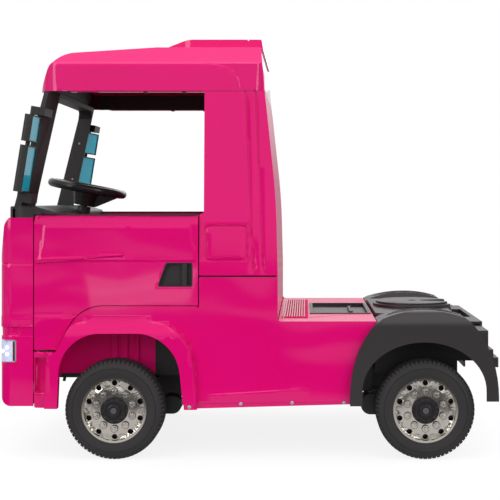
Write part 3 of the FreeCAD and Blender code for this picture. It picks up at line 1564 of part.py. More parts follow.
def coupling():
    """Round coupling plate with its flared throat, ramp lips and stepped base."""
    base = prism("Z", rounded(deck_rear_x + panel_gap, deck_rear_x + panel_gap + coupling_base_length,
                              -coupling_base_half_width, coupling_base_half_width, coupling_base_corner),
                 coupling_base_z, coupling_z - coupling_thickness)
    disc = rod(coupling_radius, V(coupling_x, 0, coupling_base_z), V(coupling_x, 0, coupling_z))
    ring = rod(coupling_radius + coupling_ring_gap, V(coupling_x, 0, coupling_base_z),
               V(coupling_x, 0, coupling_z - coupling_ring_step * 2))
    body = join([base, disc, ring])
    throat = prism("Z", [
        (coupling_x + coupling_slot_start, -coupling_slot_width / 4, 0),
        (coupling_x + coupling_slot_reach, -coupling_slot_width / 2 - coupling_slot_flare, 0),
        (coupling_x + coupling_slot_reach, coupling_slot_width / 2 + coupling_slot_flare, 0),
        (coupling_x + coupling_slot_start, coupling_slot_width / 4, 0),
    ], coupling_z - coupling_thickness, coupling_z + cut_overrun)
    body = body.cut(throat)
    bore = rod(coupling_bore_radius, V(coupling_x, 0, coupling_z - coupling_bore_length),
               V(coupling_x, 0, coupling_z + cut_overrun))
    return body.cut(bore)


def fender_section(inset):
    """Section of the rear fender seen from behind: upright face and rounded crown."""
    outer = half_width - inset
    top = fender_crown_z - inset
    inner_y = fender_inner_y + inset
    return [
        (inner_y, fender_foot_z - cut_overrun, 0), (outer, fender_foot_z - cut_overrun, 0),
        (outer, fender_top_z - inset, fender_top_radius), (fender_crown_y, top, fender_crown_radius),
        (inner_y + fender_crown_radius, top, fender_top_radius), (inner_y, top - fender_crown_radius, 0),
    ]


def fender_form(inset):
    """Solid form of the rear fender, moved in by an inset: oval side, shallow crown and rounded section."""
    low = fender_foot_z - (cut_overrun if inset else 0)
    middle = V(fender_middle_x, 0, fender_arch_z)
    cap = (rear_axle_x, fender_crown_z - fender_crown_curve, fender_crown_curve - inset)
    form = arch_solid(middle, fender_half_length - inset, fender_arch_height - inset, low, half_width, cap)
    return form.common(prism("X", fender_section(inset), fender_front_x, tail_x))


def fender_steps():
    """Stepped block behind the fender's face, down its rear edge."""
    pieces = []
    top_x = tail_x - fender_step * len(fender_step_tops[1:])
    for index, top in enumerate(fender_step_tops):
        pieces.append(block(top_x - fender_band, top_x + fender_step * index, fender_inner_y,
                            half_width - fender_tail_inset, fender_inner_tail_z, top))
    return join(pieces)


def rear_fender():
    """Right rear mudguard: deep face with the oval wheel opening, a crown and an inner wall."""
    shell = fender_form(0).fuse(fender_steps()).cut(fender_form(fender_wall))
    low = fender_foot_z - cut_overrun * 3
    wall_y = fender_inner_y + fender_wall
    opening_middle = V(fender_middle_x, wall_y, fender_open_z)
    shell = shell.cut(arch_solid(opening_middle, fender_open_half_length, fender_open_height, low,
                                 half_width))
    inner_tail_x = rear_axle_x + fender_inner_tail_run
    shell = shell.cut(block(fender_front_x - cut_overrun, inner_tail_x, 0, wall_y, low, fender_inner_low_z))
    shell = shell.cut(block(inner_tail_x, tail_x + cut_overrun, 0, wall_y, low, fender_inner_tail_z))
    shell = shell.cut(block(rear_axle_x, tail_x + cut_overrun, 0, half_width + cut_overrun, low,
                            fender_tail_foot_z))
    behind = block(fender_front_x - cut_overrun, deck_rear_x, 0, body_half_width,
                   fender_foot_z - cut_overrun, truck_height)
    return shell.cut(behind).removeSplitter()


def tail_panel():
    """Cross panel between the fenders, with a lamp bay on each side and a top shelf."""
    front = tail_x - tail_depth
    y_edge = fender_inner_y - panel_gap / 2
    face = prism("X", rounded(-y_edge, y_edge, tail_bottom_z, coupling_base_z, intake_corner),
                 front, front + tail_wall)
    shelf = block(deck_rear_x + panel_gap * 2 + coupling_base_length, front + tail_wall, -y_edge, y_edge,
                  coupling_base_z - tail_wall, coupling_base_z)
    webs = [block(front - tail_depth, front, side * y_edge * share - tail_wall / 2,
                  side * y_edge * share + tail_wall / 2, tail_bottom_z + tail_wall * 2,
                  coupling_base_z)
            for side in (-1, 1) for share in tail_web_shares]
    frame_space = block(deck_rear_x, front, -frame_half_width, frame_half_width,
                        frame_bottom_z - frame_wall, coupling_base_z)
    return join([face, shelf.cut(frame_space)] + webs)


def tail_lamps():
    """Rear lamp clusters, each a row of framed cells on the cross panel."""
    front = tail_x - tail_depth + tail_wall
    clusters = []
    for side in (-1, 1):
        outer = side * (fender_inner_y - lamp_inset)
        low_y, high_y = sorted((outer, outer - side * lamp_length))
        body = prism("X", rounded(low_y, high_y, lamp_z, lamp_z + lamp_height, lamp_corner), front,
                     front + lamp_depth)
        cell = (lamp_length - (lamp_cells + 1) * lamp_corner) / lamp_cells
        for index in range(lamp_cells):
            y0 = low_y + lamp_corner + index * (cell + lamp_corner)
            pit = prism("X", rounded(y0, y0 + cell, lamp_z + lamp_corner,
                                     lamp_z + lamp_height - lamp_corner, lamp_corner / 2),
                        front + lamp_depth / 2, front + lamp_depth + cut_overrun)
            body = body.cut(pit)
        clusters.append(body)
    return Part.makeCompound(clusters)


# Seat, dashboard and mirrors

def seat_base():
    """Moulded seat box: skirt, dished cushion area and raised side bolsters."""
    x0, x1 = seat_front_x, seat_front_x + seat_length
    half = seat_half_width
    low = floor_z + floor_wall
    top = seat_top_z + seat_bolster_rise
    box = prism("Z", rounded(x0, x1, -half, half, seat_corner), low, top)
    dish = prism("X", [
        (-half + seat_bolster, top + cut_overrun, 0),
        (-half + seat_bolster + seat_bolster_rise, seat_top_z, seat_corner),
        (half - seat_bolster - seat_bolster_rise, seat_top_z, seat_corner),
        (half - seat_bolster, top + cut_overrun, 0),
    ], x0 - cut_overrun, x1 + cut_overrun)
    nose_cut = prism("Y", [
        (x0 - cut_overrun, seat_top_z - seat_bolster_rise, 0), (x0 + seat_corner, top + cut_overrun, 0),
        (x0 - cut_overrun, top + cut_overrun, 0),
    ], -half, half)
    cavity = prism("Z", rounded(x0 + seat_wall, x1 - seat_wall, -half + seat_wall, half - seat_wall,
                                seat_corner - seat_wall), low - cut_overrun, seat_top_z - seat_wall)
    return box.cut(dish).cut(nose_cut).cut(cavity)


def seat_back():
    """Leaning shell of the backrest with rounded upper corners and shallow wings."""
    x0 = seat_back_x
    low = floor_z + floor_wall
    top = seat_back_top_z
    half = seat_back_half_width
    side_view = prism("Y", [
        (x0, low, 0), (x0, seat_top_z, seat_corner), (x0 + seat_back_lean, top, seat_corner / 2),
        (x0 + seat_back_lean + seat_back_depth / 2, top, seat_corner / 2),
        (x0 + seat_back_depth, seat_top_z, seat_corner),
        (x0 + seat_back_depth, low, 0),
    ], -half, half)
    front_view = prism("X", [
        (-half, low, 0), (half, low, 0), (half, top, seat_back_corner), (-half, top, seat_back_corner),
    ], x0 - cut_overrun, x0 + seat_back_lean + seat_back_depth * 2)
    body = side_view.common(front_view)
    hollow = prism("Y", [
        (x0 - cut_overrun, seat_top_z + seat_corner, 0),
        (x0 + seat_back_lean - cut_overrun, top - seat_corner, 0),
        (x0 + seat_back_lean + seat_wall, top - seat_corner, seat_wall),
        (x0 + seat_wall * 2, seat_top_z + seat_corner, seat_wall),
    ], -half + seat_bolster, half - seat_bolster)
    return body.cut(hollow)


def dashboard():
    """Rounded dashboard across the cab with a driver's binnacle round the column."""
    front = dash_front_x
    rear = front + dash_depth
    outline = [(front, dash_z + dash_radius, 0), (front, dash_top_z, 0),
               (rear - dash_radius / 2, dash_top_z, dash_radius / 2),
               (rear, dash_top_z - dash_radius, dash_radius / 2),
               (rear - dash_radius * 2, dash_z, dash_radius)]
    body = prism("Y", outline, -dash_half_width, dash_half_width)
    cavity = prism("Y", [
        (front - cut_overrun, dash_z - cut_overrun, 0), (front - cut_overrun, dash_top_z - dash_wall, 0),
        (rear - dash_radius, dash_top_z - dash_wall, dash_radius / 2),
        (rear - dash_radius * 2 - dash_wall, dash_z - cut_overrun, 0),
    ], -dash_half_width + dash_wall, dash_half_width - dash_wall)
    body = body.cut(cavity).common(prism("Z", nose_plan(panel_wall + panel_gap, rear + cut_overrun), dash_z,
                                         dash_top_z))
    return body.cut(column_passage(column_gap * 2))


def mirror_frame(shape, turn):
    """Set a piece drawn upright: turned about its arm towards the driver, and leant back with the pillar."""
    shape.rotate(V(mirror_foot_x + mirror_depth / 2, mirror_middle_y, mirror_foot_z), V(0, 0, 1), -turn)
    shape.rotate(V(mirror_foot_x, 0, mirror_foot_z), V(0, 1, 0), mirror_lean)
    return shape


def mirror_level(share):
    """Level on the upright mirror, as a share of the height between the cowl and the roof."""
    return mirror_foot_z + mirror_span * share


def mirror_housings():
    """Low and high level of the tall main mirror and of the short wide-angle mirror."""
    return [(mirror_level(base), mirror_level(base + height))
            for base, height in zip(mirror_base_shares, mirror_height_shares)]


def mirror(turn):
    """Right mirror: two housings turned by an angle, on an arm between two brackets on the pillar."""
    front = mirror_foot_x
    rear = front + mirror_depth
    pane_x = rear - mirror_glass_thickness * 2
    arm_x = front + mirror_depth / 2 - mirror_glass_thickness
    shells = []
    for low, high in mirror_housings():
        shell = prism("Z", [
            (front, mirror_inner_y, mirror_corner), (rear, mirror_inner_y, mirror_edge),
            (rear, mirror_outer_y, mirror_edge), (front, mirror_outer_y, mirror_corner),
        ], low, high)
        pocket = block(pane_x, rear + cut_overrun, mirror_inner_y + mirror_wall,
                       mirror_outer_y - mirror_wall,
                       low + mirror_wall, high - mirror_wall)
        shells.append(shell.cut(pocket))
    arm_low = mirror_level(mirror_bracket_low_shares[0])
    arm_high = mirror_level(mirror_bracket_high_shares[1])
    shells.append(rod(mirror_arm_radius, V(arm_x, mirror_middle_y, arm_low),
                      V(arm_x, mirror_middle_y, arm_high)))
    pieces = [mirror_frame(join(shells), turn)]
    bracket_front = front + mirror_bracket_setback
    outer = mirror_middle_y + mirror_arm_radius
    brackets = ((mirror_bracket_low_shares, mirror_bracket_foot_y),
                (mirror_bracket_high_shares, mirror_bracket_head_y))
    for shares, inner in brackets:
        low, high = [mirror_level(share) for share in shares]
        bracket = block(bracket_front, bracket_front + mirror_bracket_length, inner, outer, low, high)
        pieces.append(mirror_frame(bracket, 0))
    return join(pieces).cut(pillar_form())


def mirror_glass():
    """Four mirror panes, each let into its housing."""
    panes = []
    pane_x = mirror_foot_x + mirror_depth - mirror_glass_thickness * 2
    for low, high in mirror_housings():
        for turn in (0, mirror_turn):
            pane = block(pane_x, pane_x + mirror_glass_thickness, mirror_inner_y + mirror_wall,
                         mirror_outer_y - mirror_wall, low + mirror_wall, high - mirror_wall)
            pane = mirror_frame(pane, turn)
            panes.append(pane if turn else mirrored(pane))
    return Part.makeCompound(panes)


def build():
    """Write every piece of the truck."""
    os.makedirs("parts", exist_ok=True)
    save_wheel("front", front_axle_x)
    save_wheel("rear", rear_axle_x)
    save("front_axle_beam", front_axle_beam())
    save_pair("knuckle", knuckle())
    save("tie_rod", tie_rod())
    save("steering_wheel", steering_wheel())
    save("steering_column", steering_column())
    save("floor_pan", floor_pan())
    save("rear_frame", rear_frame())
    save("rear_axle", rear_axle())
    save("battery", battery())
    save("front_fascia", front_fascia())
    save("headlamps", headlamps())
    save("grille", grille())
    save_pair("side_panel", side_panel())
    save_pair("arch_liner", arch_liner())
    save_pair("door", door())
    save_pair("door_handle", door_handle())
    save_pair("sleeper_side", sleeper_side())
    save("rear_wall", rear_wall())
    save("roof_shell", roof_shell())
    save("roof_liner", roof_liner())
    save("windscreen_frame", windscreen_frame())
    save("deck_plate", deck_plate())
    save("service_bay", service_bay())
    save("coupling_plate", coupling())
    save_pair("rear_fender", rear_fender())
    save("tail_panel", tail_panel())
    save("tail_lamps", tail_lamps())
    save("seat_base", seat_base())
    save("seat_back", seat_back())
    save("dashboard", dashboard())
    save("mirror_right", mirror(mirror_turn))
    save("mirror_left", mirrored(mirror(0)))
    save("mirror_glass", mirror_glass())


build()
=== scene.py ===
import json
import logging
import math
from collections.abc import Iterator
from dataclasses import dataclass, replace
from enum import Enum

import bmesh
import bpy
from mathutils import Matrix, Vector

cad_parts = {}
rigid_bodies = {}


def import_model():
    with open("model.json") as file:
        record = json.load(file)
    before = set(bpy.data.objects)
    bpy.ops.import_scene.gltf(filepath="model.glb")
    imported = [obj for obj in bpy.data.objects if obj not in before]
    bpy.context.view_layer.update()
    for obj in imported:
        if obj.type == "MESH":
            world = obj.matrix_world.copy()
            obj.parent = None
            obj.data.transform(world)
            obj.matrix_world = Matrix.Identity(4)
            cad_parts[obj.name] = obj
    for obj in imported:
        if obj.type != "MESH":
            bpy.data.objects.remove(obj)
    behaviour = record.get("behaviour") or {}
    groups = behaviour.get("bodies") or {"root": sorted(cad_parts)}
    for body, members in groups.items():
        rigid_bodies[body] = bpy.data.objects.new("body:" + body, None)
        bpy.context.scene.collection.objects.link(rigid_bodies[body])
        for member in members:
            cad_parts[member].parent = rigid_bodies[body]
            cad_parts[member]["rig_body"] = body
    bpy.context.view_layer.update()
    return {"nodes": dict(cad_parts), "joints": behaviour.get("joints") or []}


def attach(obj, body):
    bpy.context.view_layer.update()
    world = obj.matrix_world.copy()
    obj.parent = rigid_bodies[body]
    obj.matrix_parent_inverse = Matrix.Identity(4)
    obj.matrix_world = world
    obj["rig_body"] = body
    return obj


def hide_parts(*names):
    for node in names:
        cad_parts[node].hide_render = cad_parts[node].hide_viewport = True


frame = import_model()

log = logging.getLogger("ride_on_truck")
MM = 0.001
FULL_TURN = 2 * math.pi
QUARTER_TURN = math.pi / 2
SMOOTH_ANGLE = math.radians(32)
FLAT_ANGLE = math.radians(0.4)
MERGE = 0.02 * MM
Point = tuple[float, float]
Spot = tuple[float, float, float]


def linear(code: str) -> tuple[float, float, float, float]:
    """Turns an sRGB hex colour into linear light.

    Args:
        code: six hex digits with a leading hash.

    Returns:
        Red, green, blue and a full alpha.
    """
    parts = [int(code[i : i + 2], 16) / 255 for i in (1, 3, 5)]
    low = [p / 12.92 if p <= 0.04045 else ((p + 0.055) / 1.055) ** 2.4 for p in parts]
    return low[0], low[1], low[2], 1.0


def add_node(tree: bpy.types.NodeTree, kind: str, inputs: dict | None = None, **settings) -> bpy.types.Node:
    """Adds a node, sets its own settings, and sets or links its inputs.

    Args:
        tree: the tree that gets the node.
        kind: the node's type name.
        inputs: input name or number to a value, or to a socket that feeds it.
        settings: the node's own properties.

    Returns:
        The new node.
    """
    node = tree.nodes.new(kind)
    for name, value in settings.items():
        setattr(node, name, value)
    for name, value in (inputs or {}).items():
        if isinstance(value, bpy.types.NodeSocket):
            tree.links.new(value, node.inputs[name])
        else:
            node.inputs[name].default_value = value
    return node


class Side(Enum):
    """The two sides of the truck, with the sign of Y."""

    LEFT = -1
    RIGHT = 1

    @property
    def word(self) -> str:
        """The side's word in the names of nodes."""
        return self.name.lower()


@dataclass(frozen=True)
class Block:
    """A block's reach along X, away from the middle plane, and up, in millimetres."""

    x: Point
    y: Point
    z: Point

    @classmethod
    def of(cls, node: str) -> "Block":
        """Returns the reach of a CAD node, along X, Y and Z."""
        spots = [vert.co / MM for vert in frame["nodes"][node].data.vertices]
        return cls(*((min(s[axis] for s in spots), max(s[axis] for s in spots)) for axis in range(3)))


FASCIA = Block.of("front_fascia")
NOSE_X = FASCIA.x[0]
BODY_HALF = FASCIA.y[1]


@dataclass(frozen=True)
class Finish:
    """A surface as it leaves its mould or its plating: tones, shine, grain and slow waves."""

    name: str
    slot: str
    colour: str
    tone: str
    roughness: float
    metallic: float = 0.0
    ior: float = 1.49
    coat: float = 0.0
    grain_mm: float = 1.0
    grain_depth_mm: float = 0.03
    wave_mm: float = 120.0
    wave_depth_mm: float = 0.0
    glow: float = 0.0
    coat_roughness: float = 0.05
    under_coat: float = 0.05
    spread: float = 0.15

    def material(self) -> bpy.types.Material:
        """Builds the finish's material on its first use.

        Returns:
            The material, the same one at each call.
        """
        found = bpy.data.materials.get(self.name)
        if found:
            return found
        made = bpy.data.materials.new(self.name)
        made.use_nodes = True
        tree = made.node_tree
        tree.nodes.clear()
        place = add_node(tree, "ShaderNodeTexCoord").outputs["Object"]
        grain = add_node(
            tree, "ShaderNodeTexNoise",
            {"Vector": place, "Scale": 1 / (self.grain_mm * MM), "Detail": 3.0, "Roughness": 0.6},
        ).outputs[0]
        drift = add_node(
            tree, "ShaderNodeTexNoise",
            {"Vector": place, "Scale": 1 / (self.wave_mm * MM), "Detail": 1.0, "Roughness": 0.4},
        ).outputs[0]
        tones = {0: drift, 6: linear(self.colour), 7: linear(self.tone)}
        tone = add_node(tree, "ShaderNodeMix", tones, data_type="RGBA").outputs[2]
        least, most = self.roughness * (1 - self.spread), self.roughness * (1 + self.spread)
        rough = add_node(
            tree, "ShaderNodeMapRange", {"Value": grain, "To Min": least, "To Max": most}
        ).outputs[0]
        wave = add_node(
            tree, "ShaderNodeBump", {"Height": drift, "Strength": 1.0, "Distance": self.wave_depth_mm * MM}
        ).outputs[0]
        bump = add_node(
            tree, "ShaderNodeBump",
            {"Height": grain, "Strength": 1.0, "Distance": self.grain_depth_mm * MM, "Normal": wave},
        ).outputs[0]
        shader = add_node(
            tree, "ShaderNodeBsdfPrincipled",
            {"Base Color": tone, "Roughness": rough, "Normal": bump, "Metallic": self.metallic},
        )
        if self.metallic == 0:
            shader.inputs["IOR"].default_value = self.ior
        if self.coat:
            shader.inputs["Specular IOR Level"].default_value = self.under_coat
            shader.inputs["Coat Weight"].default_value = self.coat
            shader.inputs["Coat Roughness"].default_value = self.coat_roughness
            tree.links.new(wave, shader.inputs["Coat Normal"])
        if self.glow:
            shader.inputs["Emission Color"].default_value = linear(self.colour)
            shader.inputs["Emission Strength"].default_value = self.glow
        add_node(tree, "ShaderNodeOutputMaterial", {"Surface": shader.outputs[0]})
        return made


# gloss painted polypropylene: a clear coat over pink, with the slow waves of a thin moulded wall
PINK = Finish(
    "gloss_pink_moulding", "pink_body", "#E30073", "#DA006C", 0.38, coat=1.0, grain_mm=2.2,
    grain_depth_mm=0.004, wave_mm=240, wave_depth_mm=3.2,
)
# the same paint with a thinner coat, over the deck and the cab's rear wall
PINK_THIN = replace(PINK, name="thin_coated_pink", coat=0.5, wave_depth_mm=1.6)
# the same moulding left bare on its inner side, without the paint's shine; its pink is lighter than the
# body's, painted light that lifts the shade in the arches
PINK_INSIDE = Finish(
    "bare_pink_moulding", "pink_body", "#F0007A", "#E0006E", 0.5, ior=1.22, grain_mm=1.6, grain_depth_mm=0.03,
)
# satin black polypropylene with a fine spark-eroded grain, drawn a little coarser so that it shows
BLACK = Finish(
    "satin_black_moulding", "black_plastic", "#332F30", "#2B2829", 0.46, grain_mm=1.3,
    grain_depth_mm=0.05, wave_mm=150, wave_depth_mm=0.6,
)
# foamed EVA, matt, with an open skin
FOAM = Finish(
    "foamed_eva", "tyre_rubber", "#2F2C2D", "#262425", 0.68, grain_mm=1.8, grain_depth_mm=0.12,
)
# vacuum-metallised plastic: a bright warm silver that copies the mould's soft waves
CHROME = Finish(
    "metallised_plastic", "rim_chrome", "#EFE9E0", "#E4DED4", 0.15, metallic=1.0, grain_mm=3.0,
    grain_depth_mm=0.004, wave_mm=80, wave_depth_mm=0.1,
)
# black ABS straight from a polished mould: darker and shinier than the body's grained plastic
CAP = Finish(
    "hub_cap_moulding", "cap_plastic", "#242122", "#1C1A1B", 0.36, grain_mm=1.0, grain_depth_mm=0.02,
)
# steel under black stoving paint, with a faint orange peel
LINKAGE = Finish(
    "painted_steel", "linkage_steel", "#2A292A", "#222122", 0.32, grain_mm=0.8, grain_depth_mm=0.02,
)
# moulded black nylon, slightly waxy
GEARBOX = Finish("nylon_gear_case", "gearbox_plastic", "#232223", "#1B1A1B", 0.42, grain_mm=1.0)
# grained black ABS of the mirror housings and their tubes
MIRROR_SHELL = Finish("mirror_moulding", "mirror_plastic", "#2E2C2D", "#262425", 0.42, grain_mm=1.1)
# silvered foil behind clear plastic; the blue of a clear sky that it reflects is painted into its colour, and
# its glow is painted light
MIRROR_PANE = Finish(
    "mirror_foil", "mirror_pane", "#1FA6BC", "#2FA0BE", 0.14, metallic=0.1, coat=1.0, glow=0.3,
    grain_mm=4.0, grain_depth_mm=0.0, wave_mm=60,
)
# soft-touch black plastic of the steering wheel's rim
GRIP = Finish("wheel_grip", "wheel_grip", "#262425", "#1F1D1E", 0.4, grain_mm=1.2, grain_depth_mm=0.04)
# blow-moulded black polyethylene with a deep leather-like grain
SEAT = Finish("seat_moulding", "seat_plastic", "#2B2929", "#242222", 0.5, grain_mm=1.6, grain_depth_mm=0.08)
# dark grey ABS of a sealed lead battery
BATTERY = Finish("battery_case", "battery_case", "#3A3A3C", "#313133", 0.45)
# clear lens over a plated bowl, seen as one pale surface; its soft lilac and grey patches are painted
# reflections of the bowl, and its glow is painted light
LAMP = Finish(
    "lens_bowl", "lamp_lens", "#D3D8F4", "#9CA2CE", 0.1, coat=1.0, glow=0.3, grain_mm=3.0, wave_mm=9,
)
# the white middle of a lamp, which glows as a painted highlight of the plated bowl
PAINTED_GLINT = Finish(
    "lit_diode", "lamp_lens", "#EEF0FF", "#FFFFFF", 0.1, coat=1.0, glow=0.9, grain_mm=3.0, wave_mm=14,
)
# smoked lens of the small fog lamp
SMOKED = Finish("smoked_lens", "lamp_lens", "#3E4048", "#2A2B31", 0.12, coat=1.0, grain_mm=3.0, wave_mm=14)
# red moulded marker strip
MARKER = Finish("red_strip", "tail_lens", "#C8141E", "#A80F18", 0.2, coat=1.0, grain_mm=3.0, wave_mm=20)
# warm grey plastic of the bolt in the middle of a hub cap
BOLT = Finish("cap_bolt", "cap_plastic", "#6E6874", "#57525E", 0.3, metallic=0.4, grain_mm=1.0)
# clear red acrylic of the tail lamps, dark where nothing is lit behind it
TAIL = Finish("tail_lens", "tail_lens", "#B40E18", "#8E0A12", 0.12, coat=1.0, grain_mm=3.0, wave_mm=14)
# zinc plated screw heads
ZINC = Finish("zinc_plate", "rim_chrome", "#D2CFD2", "#BDB9BF", 0.3, metallic=0.55, grain_mm=0.6)


def place(
    name: str, bm: bmesh.types.BMesh, finish: Finish, body: str, edge_mm: float = 0.0
) -> bpy.types.Object:
    """Turns a bmesh into a piece that rides on a body.

    Args:
        name: the piece's name.
        bm: its shape in the row frame; it is freed here.
        finish: its surface.
        body: the body that it rides on.
        edge_mm: the rounding of its edges; none at zero.

    Returns:
        The piece.
    """
    mesh = bpy.data.meshes.new(name)
    bm.to_mesh(mesh)
    bm.free()
    mesh.shade_smooth()
    mesh.set_sharp_from_angle(angle=SMOOTH_ANGLE)
    piece = bpy.data.objects.new(name, mesh)
    bpy.context.scene.collection.objects.link(piece)
    mesh.materials.append(finish.material())
    if edge_mm:
        rounding = piece.modifiers.new("rounded_edges", "BEVEL")
        rounding.width = edge_mm * MM
        rounding.segments = 2
        rounding.limit_method = "ANGLE"
        rounding.angle_limit = SMOOTH_ANGLE
        rounding.harden_normals = True
        rounding.use_clamp_overlap = True
    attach(piece, body)
    log.info("%s on %s", name, body)
    return piece


def merged(node: str) -> bmesh.types.BMesh:
    """Copies a CAD node's mesh with its loose triangles joined into flat faces.

    Args:
        node: the CAD node's name.

    Returns:
        The copy.
    """
    bm = bmesh.new()
    bm.from_mesh(frame["nodes"][node].data)
    bmesh.ops.remove_doubles(bm, verts=bm.verts, dist=MERGE)
    bmesh.ops.dissolve_limit(bm, angle_limit=FLAT_ANGLE, verts=bm.verts, edges=bm.edges)
    return bm


def stand_in(name: str, bm: bmesh.types.BMesh, node: str, finish: Finish, edge_mm: float = 0.0) -> None:
    """Places a piece that shows in place of a CAD node, on that node's body.

    Args:
        name: the piece's name.
        bm: its shape.
        node: the CAD node that it replaces.
        finish: its surface.
        edge_mm: the rounding of its edges.
    """
    piece = place(name, bm, finish, frame["nodes"][node]["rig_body"], edge_mm)
    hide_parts(node)


def dressed(node: str, finish: Finish, edge_mm: float) -> None:
    """Stands a merged copy of a CAD node in its place, with its edges rounded."""
    stand_in("dressed_" + node, merged(node), node, finish, edge_mm)


class Form:
    """A shape put together from simple pieces whose sizes are in millimetres."""

    def __init__(self) -> None:
        self.bm = bmesh.new()

    def box(self, low: Spot, high: Spot, turn: Matrix | None = None) -> "Form":
        """Adds a box.

        Args:
            low: one corner.
            high: the opposite corner.
            turn: a turn about the box's own middle.

        Returns:
            The form.
        """
        middle = Vector([(a + b) / 2 for a, b in zip(low, high)]) * MM
        size = [abs(b - a) * MM for a, b in zip(low, high)]
        spot = Matrix.Translation(middle) @ (turn or Matrix()) @ Matrix.Diagonal((*size, 1))
        bmesh.ops.create_cube(self.bm, size=1.0, matrix=spot)
        return self

    def block(self, block: Block, side: Side) -> "Form":
        """Adds a block on one side of the truck.

        Args:
            block: its reach.
            side: the side that it stands on.

        Returns:
            The form.
        """
        low, high = ((block.x[end], side.value * block.y[end], block.z[end]) for end in (0, 1))
        return self.box(low, high)

    def prism(self, outline: list[Point], axis: int, start: float, end: float) -> "Form":
        """Adds an outline carried along an axis.

        Args:
            outline: its corners across the axis.
            axis: 0, 1 or 2.
            start: where it starts along the axis.
            end: where it ends.

        Returns:
            The form.
        """
        others = [i for i in range(3) if i != axis]
        verts = []
        for u, v in outline:
            spot = [0.0, 0.0, 0.0]
            spot[axis], spot[others[0]], spot[others[1]] = start, u, v
            verts.append(self.bm.verts.new(Vector(spot) * MM))
        face = self.bm.faces.new(verts)
        carried = bmesh.ops.extrude_face_region(self.bm, geom=[face])["geom"]
        step = Vector((0, 0, 0))
        step[axis] = (end - start) * MM
        moved = [part for part in carried if isinstance(part, bmesh.types.BMVert)]
        bmesh.ops.translate(self.bm, verts=moved, vec=step)
        return self

    def rod(self, start: Spot, end: Spot, radius: float, segments: int, tip: float | None = None) -> "Form":
        """Adds a round rod, or a cone.

        Args:
            start: the middle of its first end.
            end: the middle of its other end.
            radius: its radius.
            segments: the number of its sides.
            tip: the radius at the other end, where it is another.

        Returns:
            The form.
        """
        a, b = Vector(start) * MM, Vector(end) * MM
        turn = (b - a).to_track_quat("Z", "Y").to_matrix().to_4x4()
        bmesh.ops.create_cone(
            self.bm, cap_ends=True, segments=segments, radius1=radius * MM,
            radius2=(radius if tip is None else tip) * MM, depth=(b - a).length,
            matrix=Matrix.Translation((a + b) / 2) @ turn,
        )
        return self

    def lathe(self, profile: list[Point], x: float, z: float, segments: int) -> "Form":
        """Adds a profile turned about an axis along Y.

        Args:
            profile: points of (radius, y); ends on the axis close it.
            x: the axis's place along X.
            z: its height.
            segments: the number of steps round.

        Returns:
            The form.
        """
        verts = [self.bm.verts.new(Vector((x + r, y, z)) * MM) for r, y in profile]
        edges = [self.bm.edges.new(pair) for pair in zip(verts, verts[1:])]
        bmesh.ops.spin(
            self.bm, geom=verts + edges, cent=Vector((x, 0, z)) * MM, axis=(0, 1, 0), angle=FULL_TURN,
            steps=segments, use_merge=True,
        )
        bmesh.ops.remove_doubles(self.bm, verts=self.bm.verts, dist=MERGE)
        return self

    def outward(self) -> bmesh.types.BMesh:
        """Returns the shape's mesh with its faces outward."""
        bmesh.ops.recalc_face_normals(self.bm, faces=self.bm.faces)
        return self.bm

    def place(self, name: str, finish: Finish, body: str, edge_mm: float = 0.0) -> None:
        """Turns the shape into a piece on a body."""
        place(name, self.outward(), finish, body, edge_mm)

    def stand_in(self, name: str, node: str, finish: Finish) -> None:
        """Turns the shape into a piece that replaces a CAD node."""
        stand_in(name, self.outward(), node, finish)


@dataclass(frozen=True)
class Emboss:
    """A field of a skin that stands out: convex corners (x, z) going round, with each edge's slope width."""

    corners: tuple[Spot, ...]
    rise: float

    def edges(self) -> Iterator[tuple[Point, Point, float]]:
        """Goes round the field's edges.

        Returns:
            Each edge's first corner, inward normal and slope width, in millimetres.
        """
        pairs = list(zip(self.corners, self.corners[1:] + self.corners[:1]))
        turn = math.copysign(1, sum(a[0] * b[1] - b[0] * a[1] for a, b in pairs))
        for a, b in pairs:
            run, climb = b[0] - a[0], b[1] - a[1]
            size = math.hypot(run, climb)
            yield a[:2], (-climb * turn / size, run * turn / size), a[2]

    def at(self, x: float, z: float) -> float:
        """Tells how far the skin stands out at a place.

        Args:
            x: the place along X.
            z: its height.

        Returns:
            The rise there, in millimetres.
        """
        share = 1.0
        for (ax, az), (nx, nz), slope in self.edges():
            share = min(share, ((x - ax) * nx + (z - az) * nz) / slope)
        return self.rise * max(0.0, share)


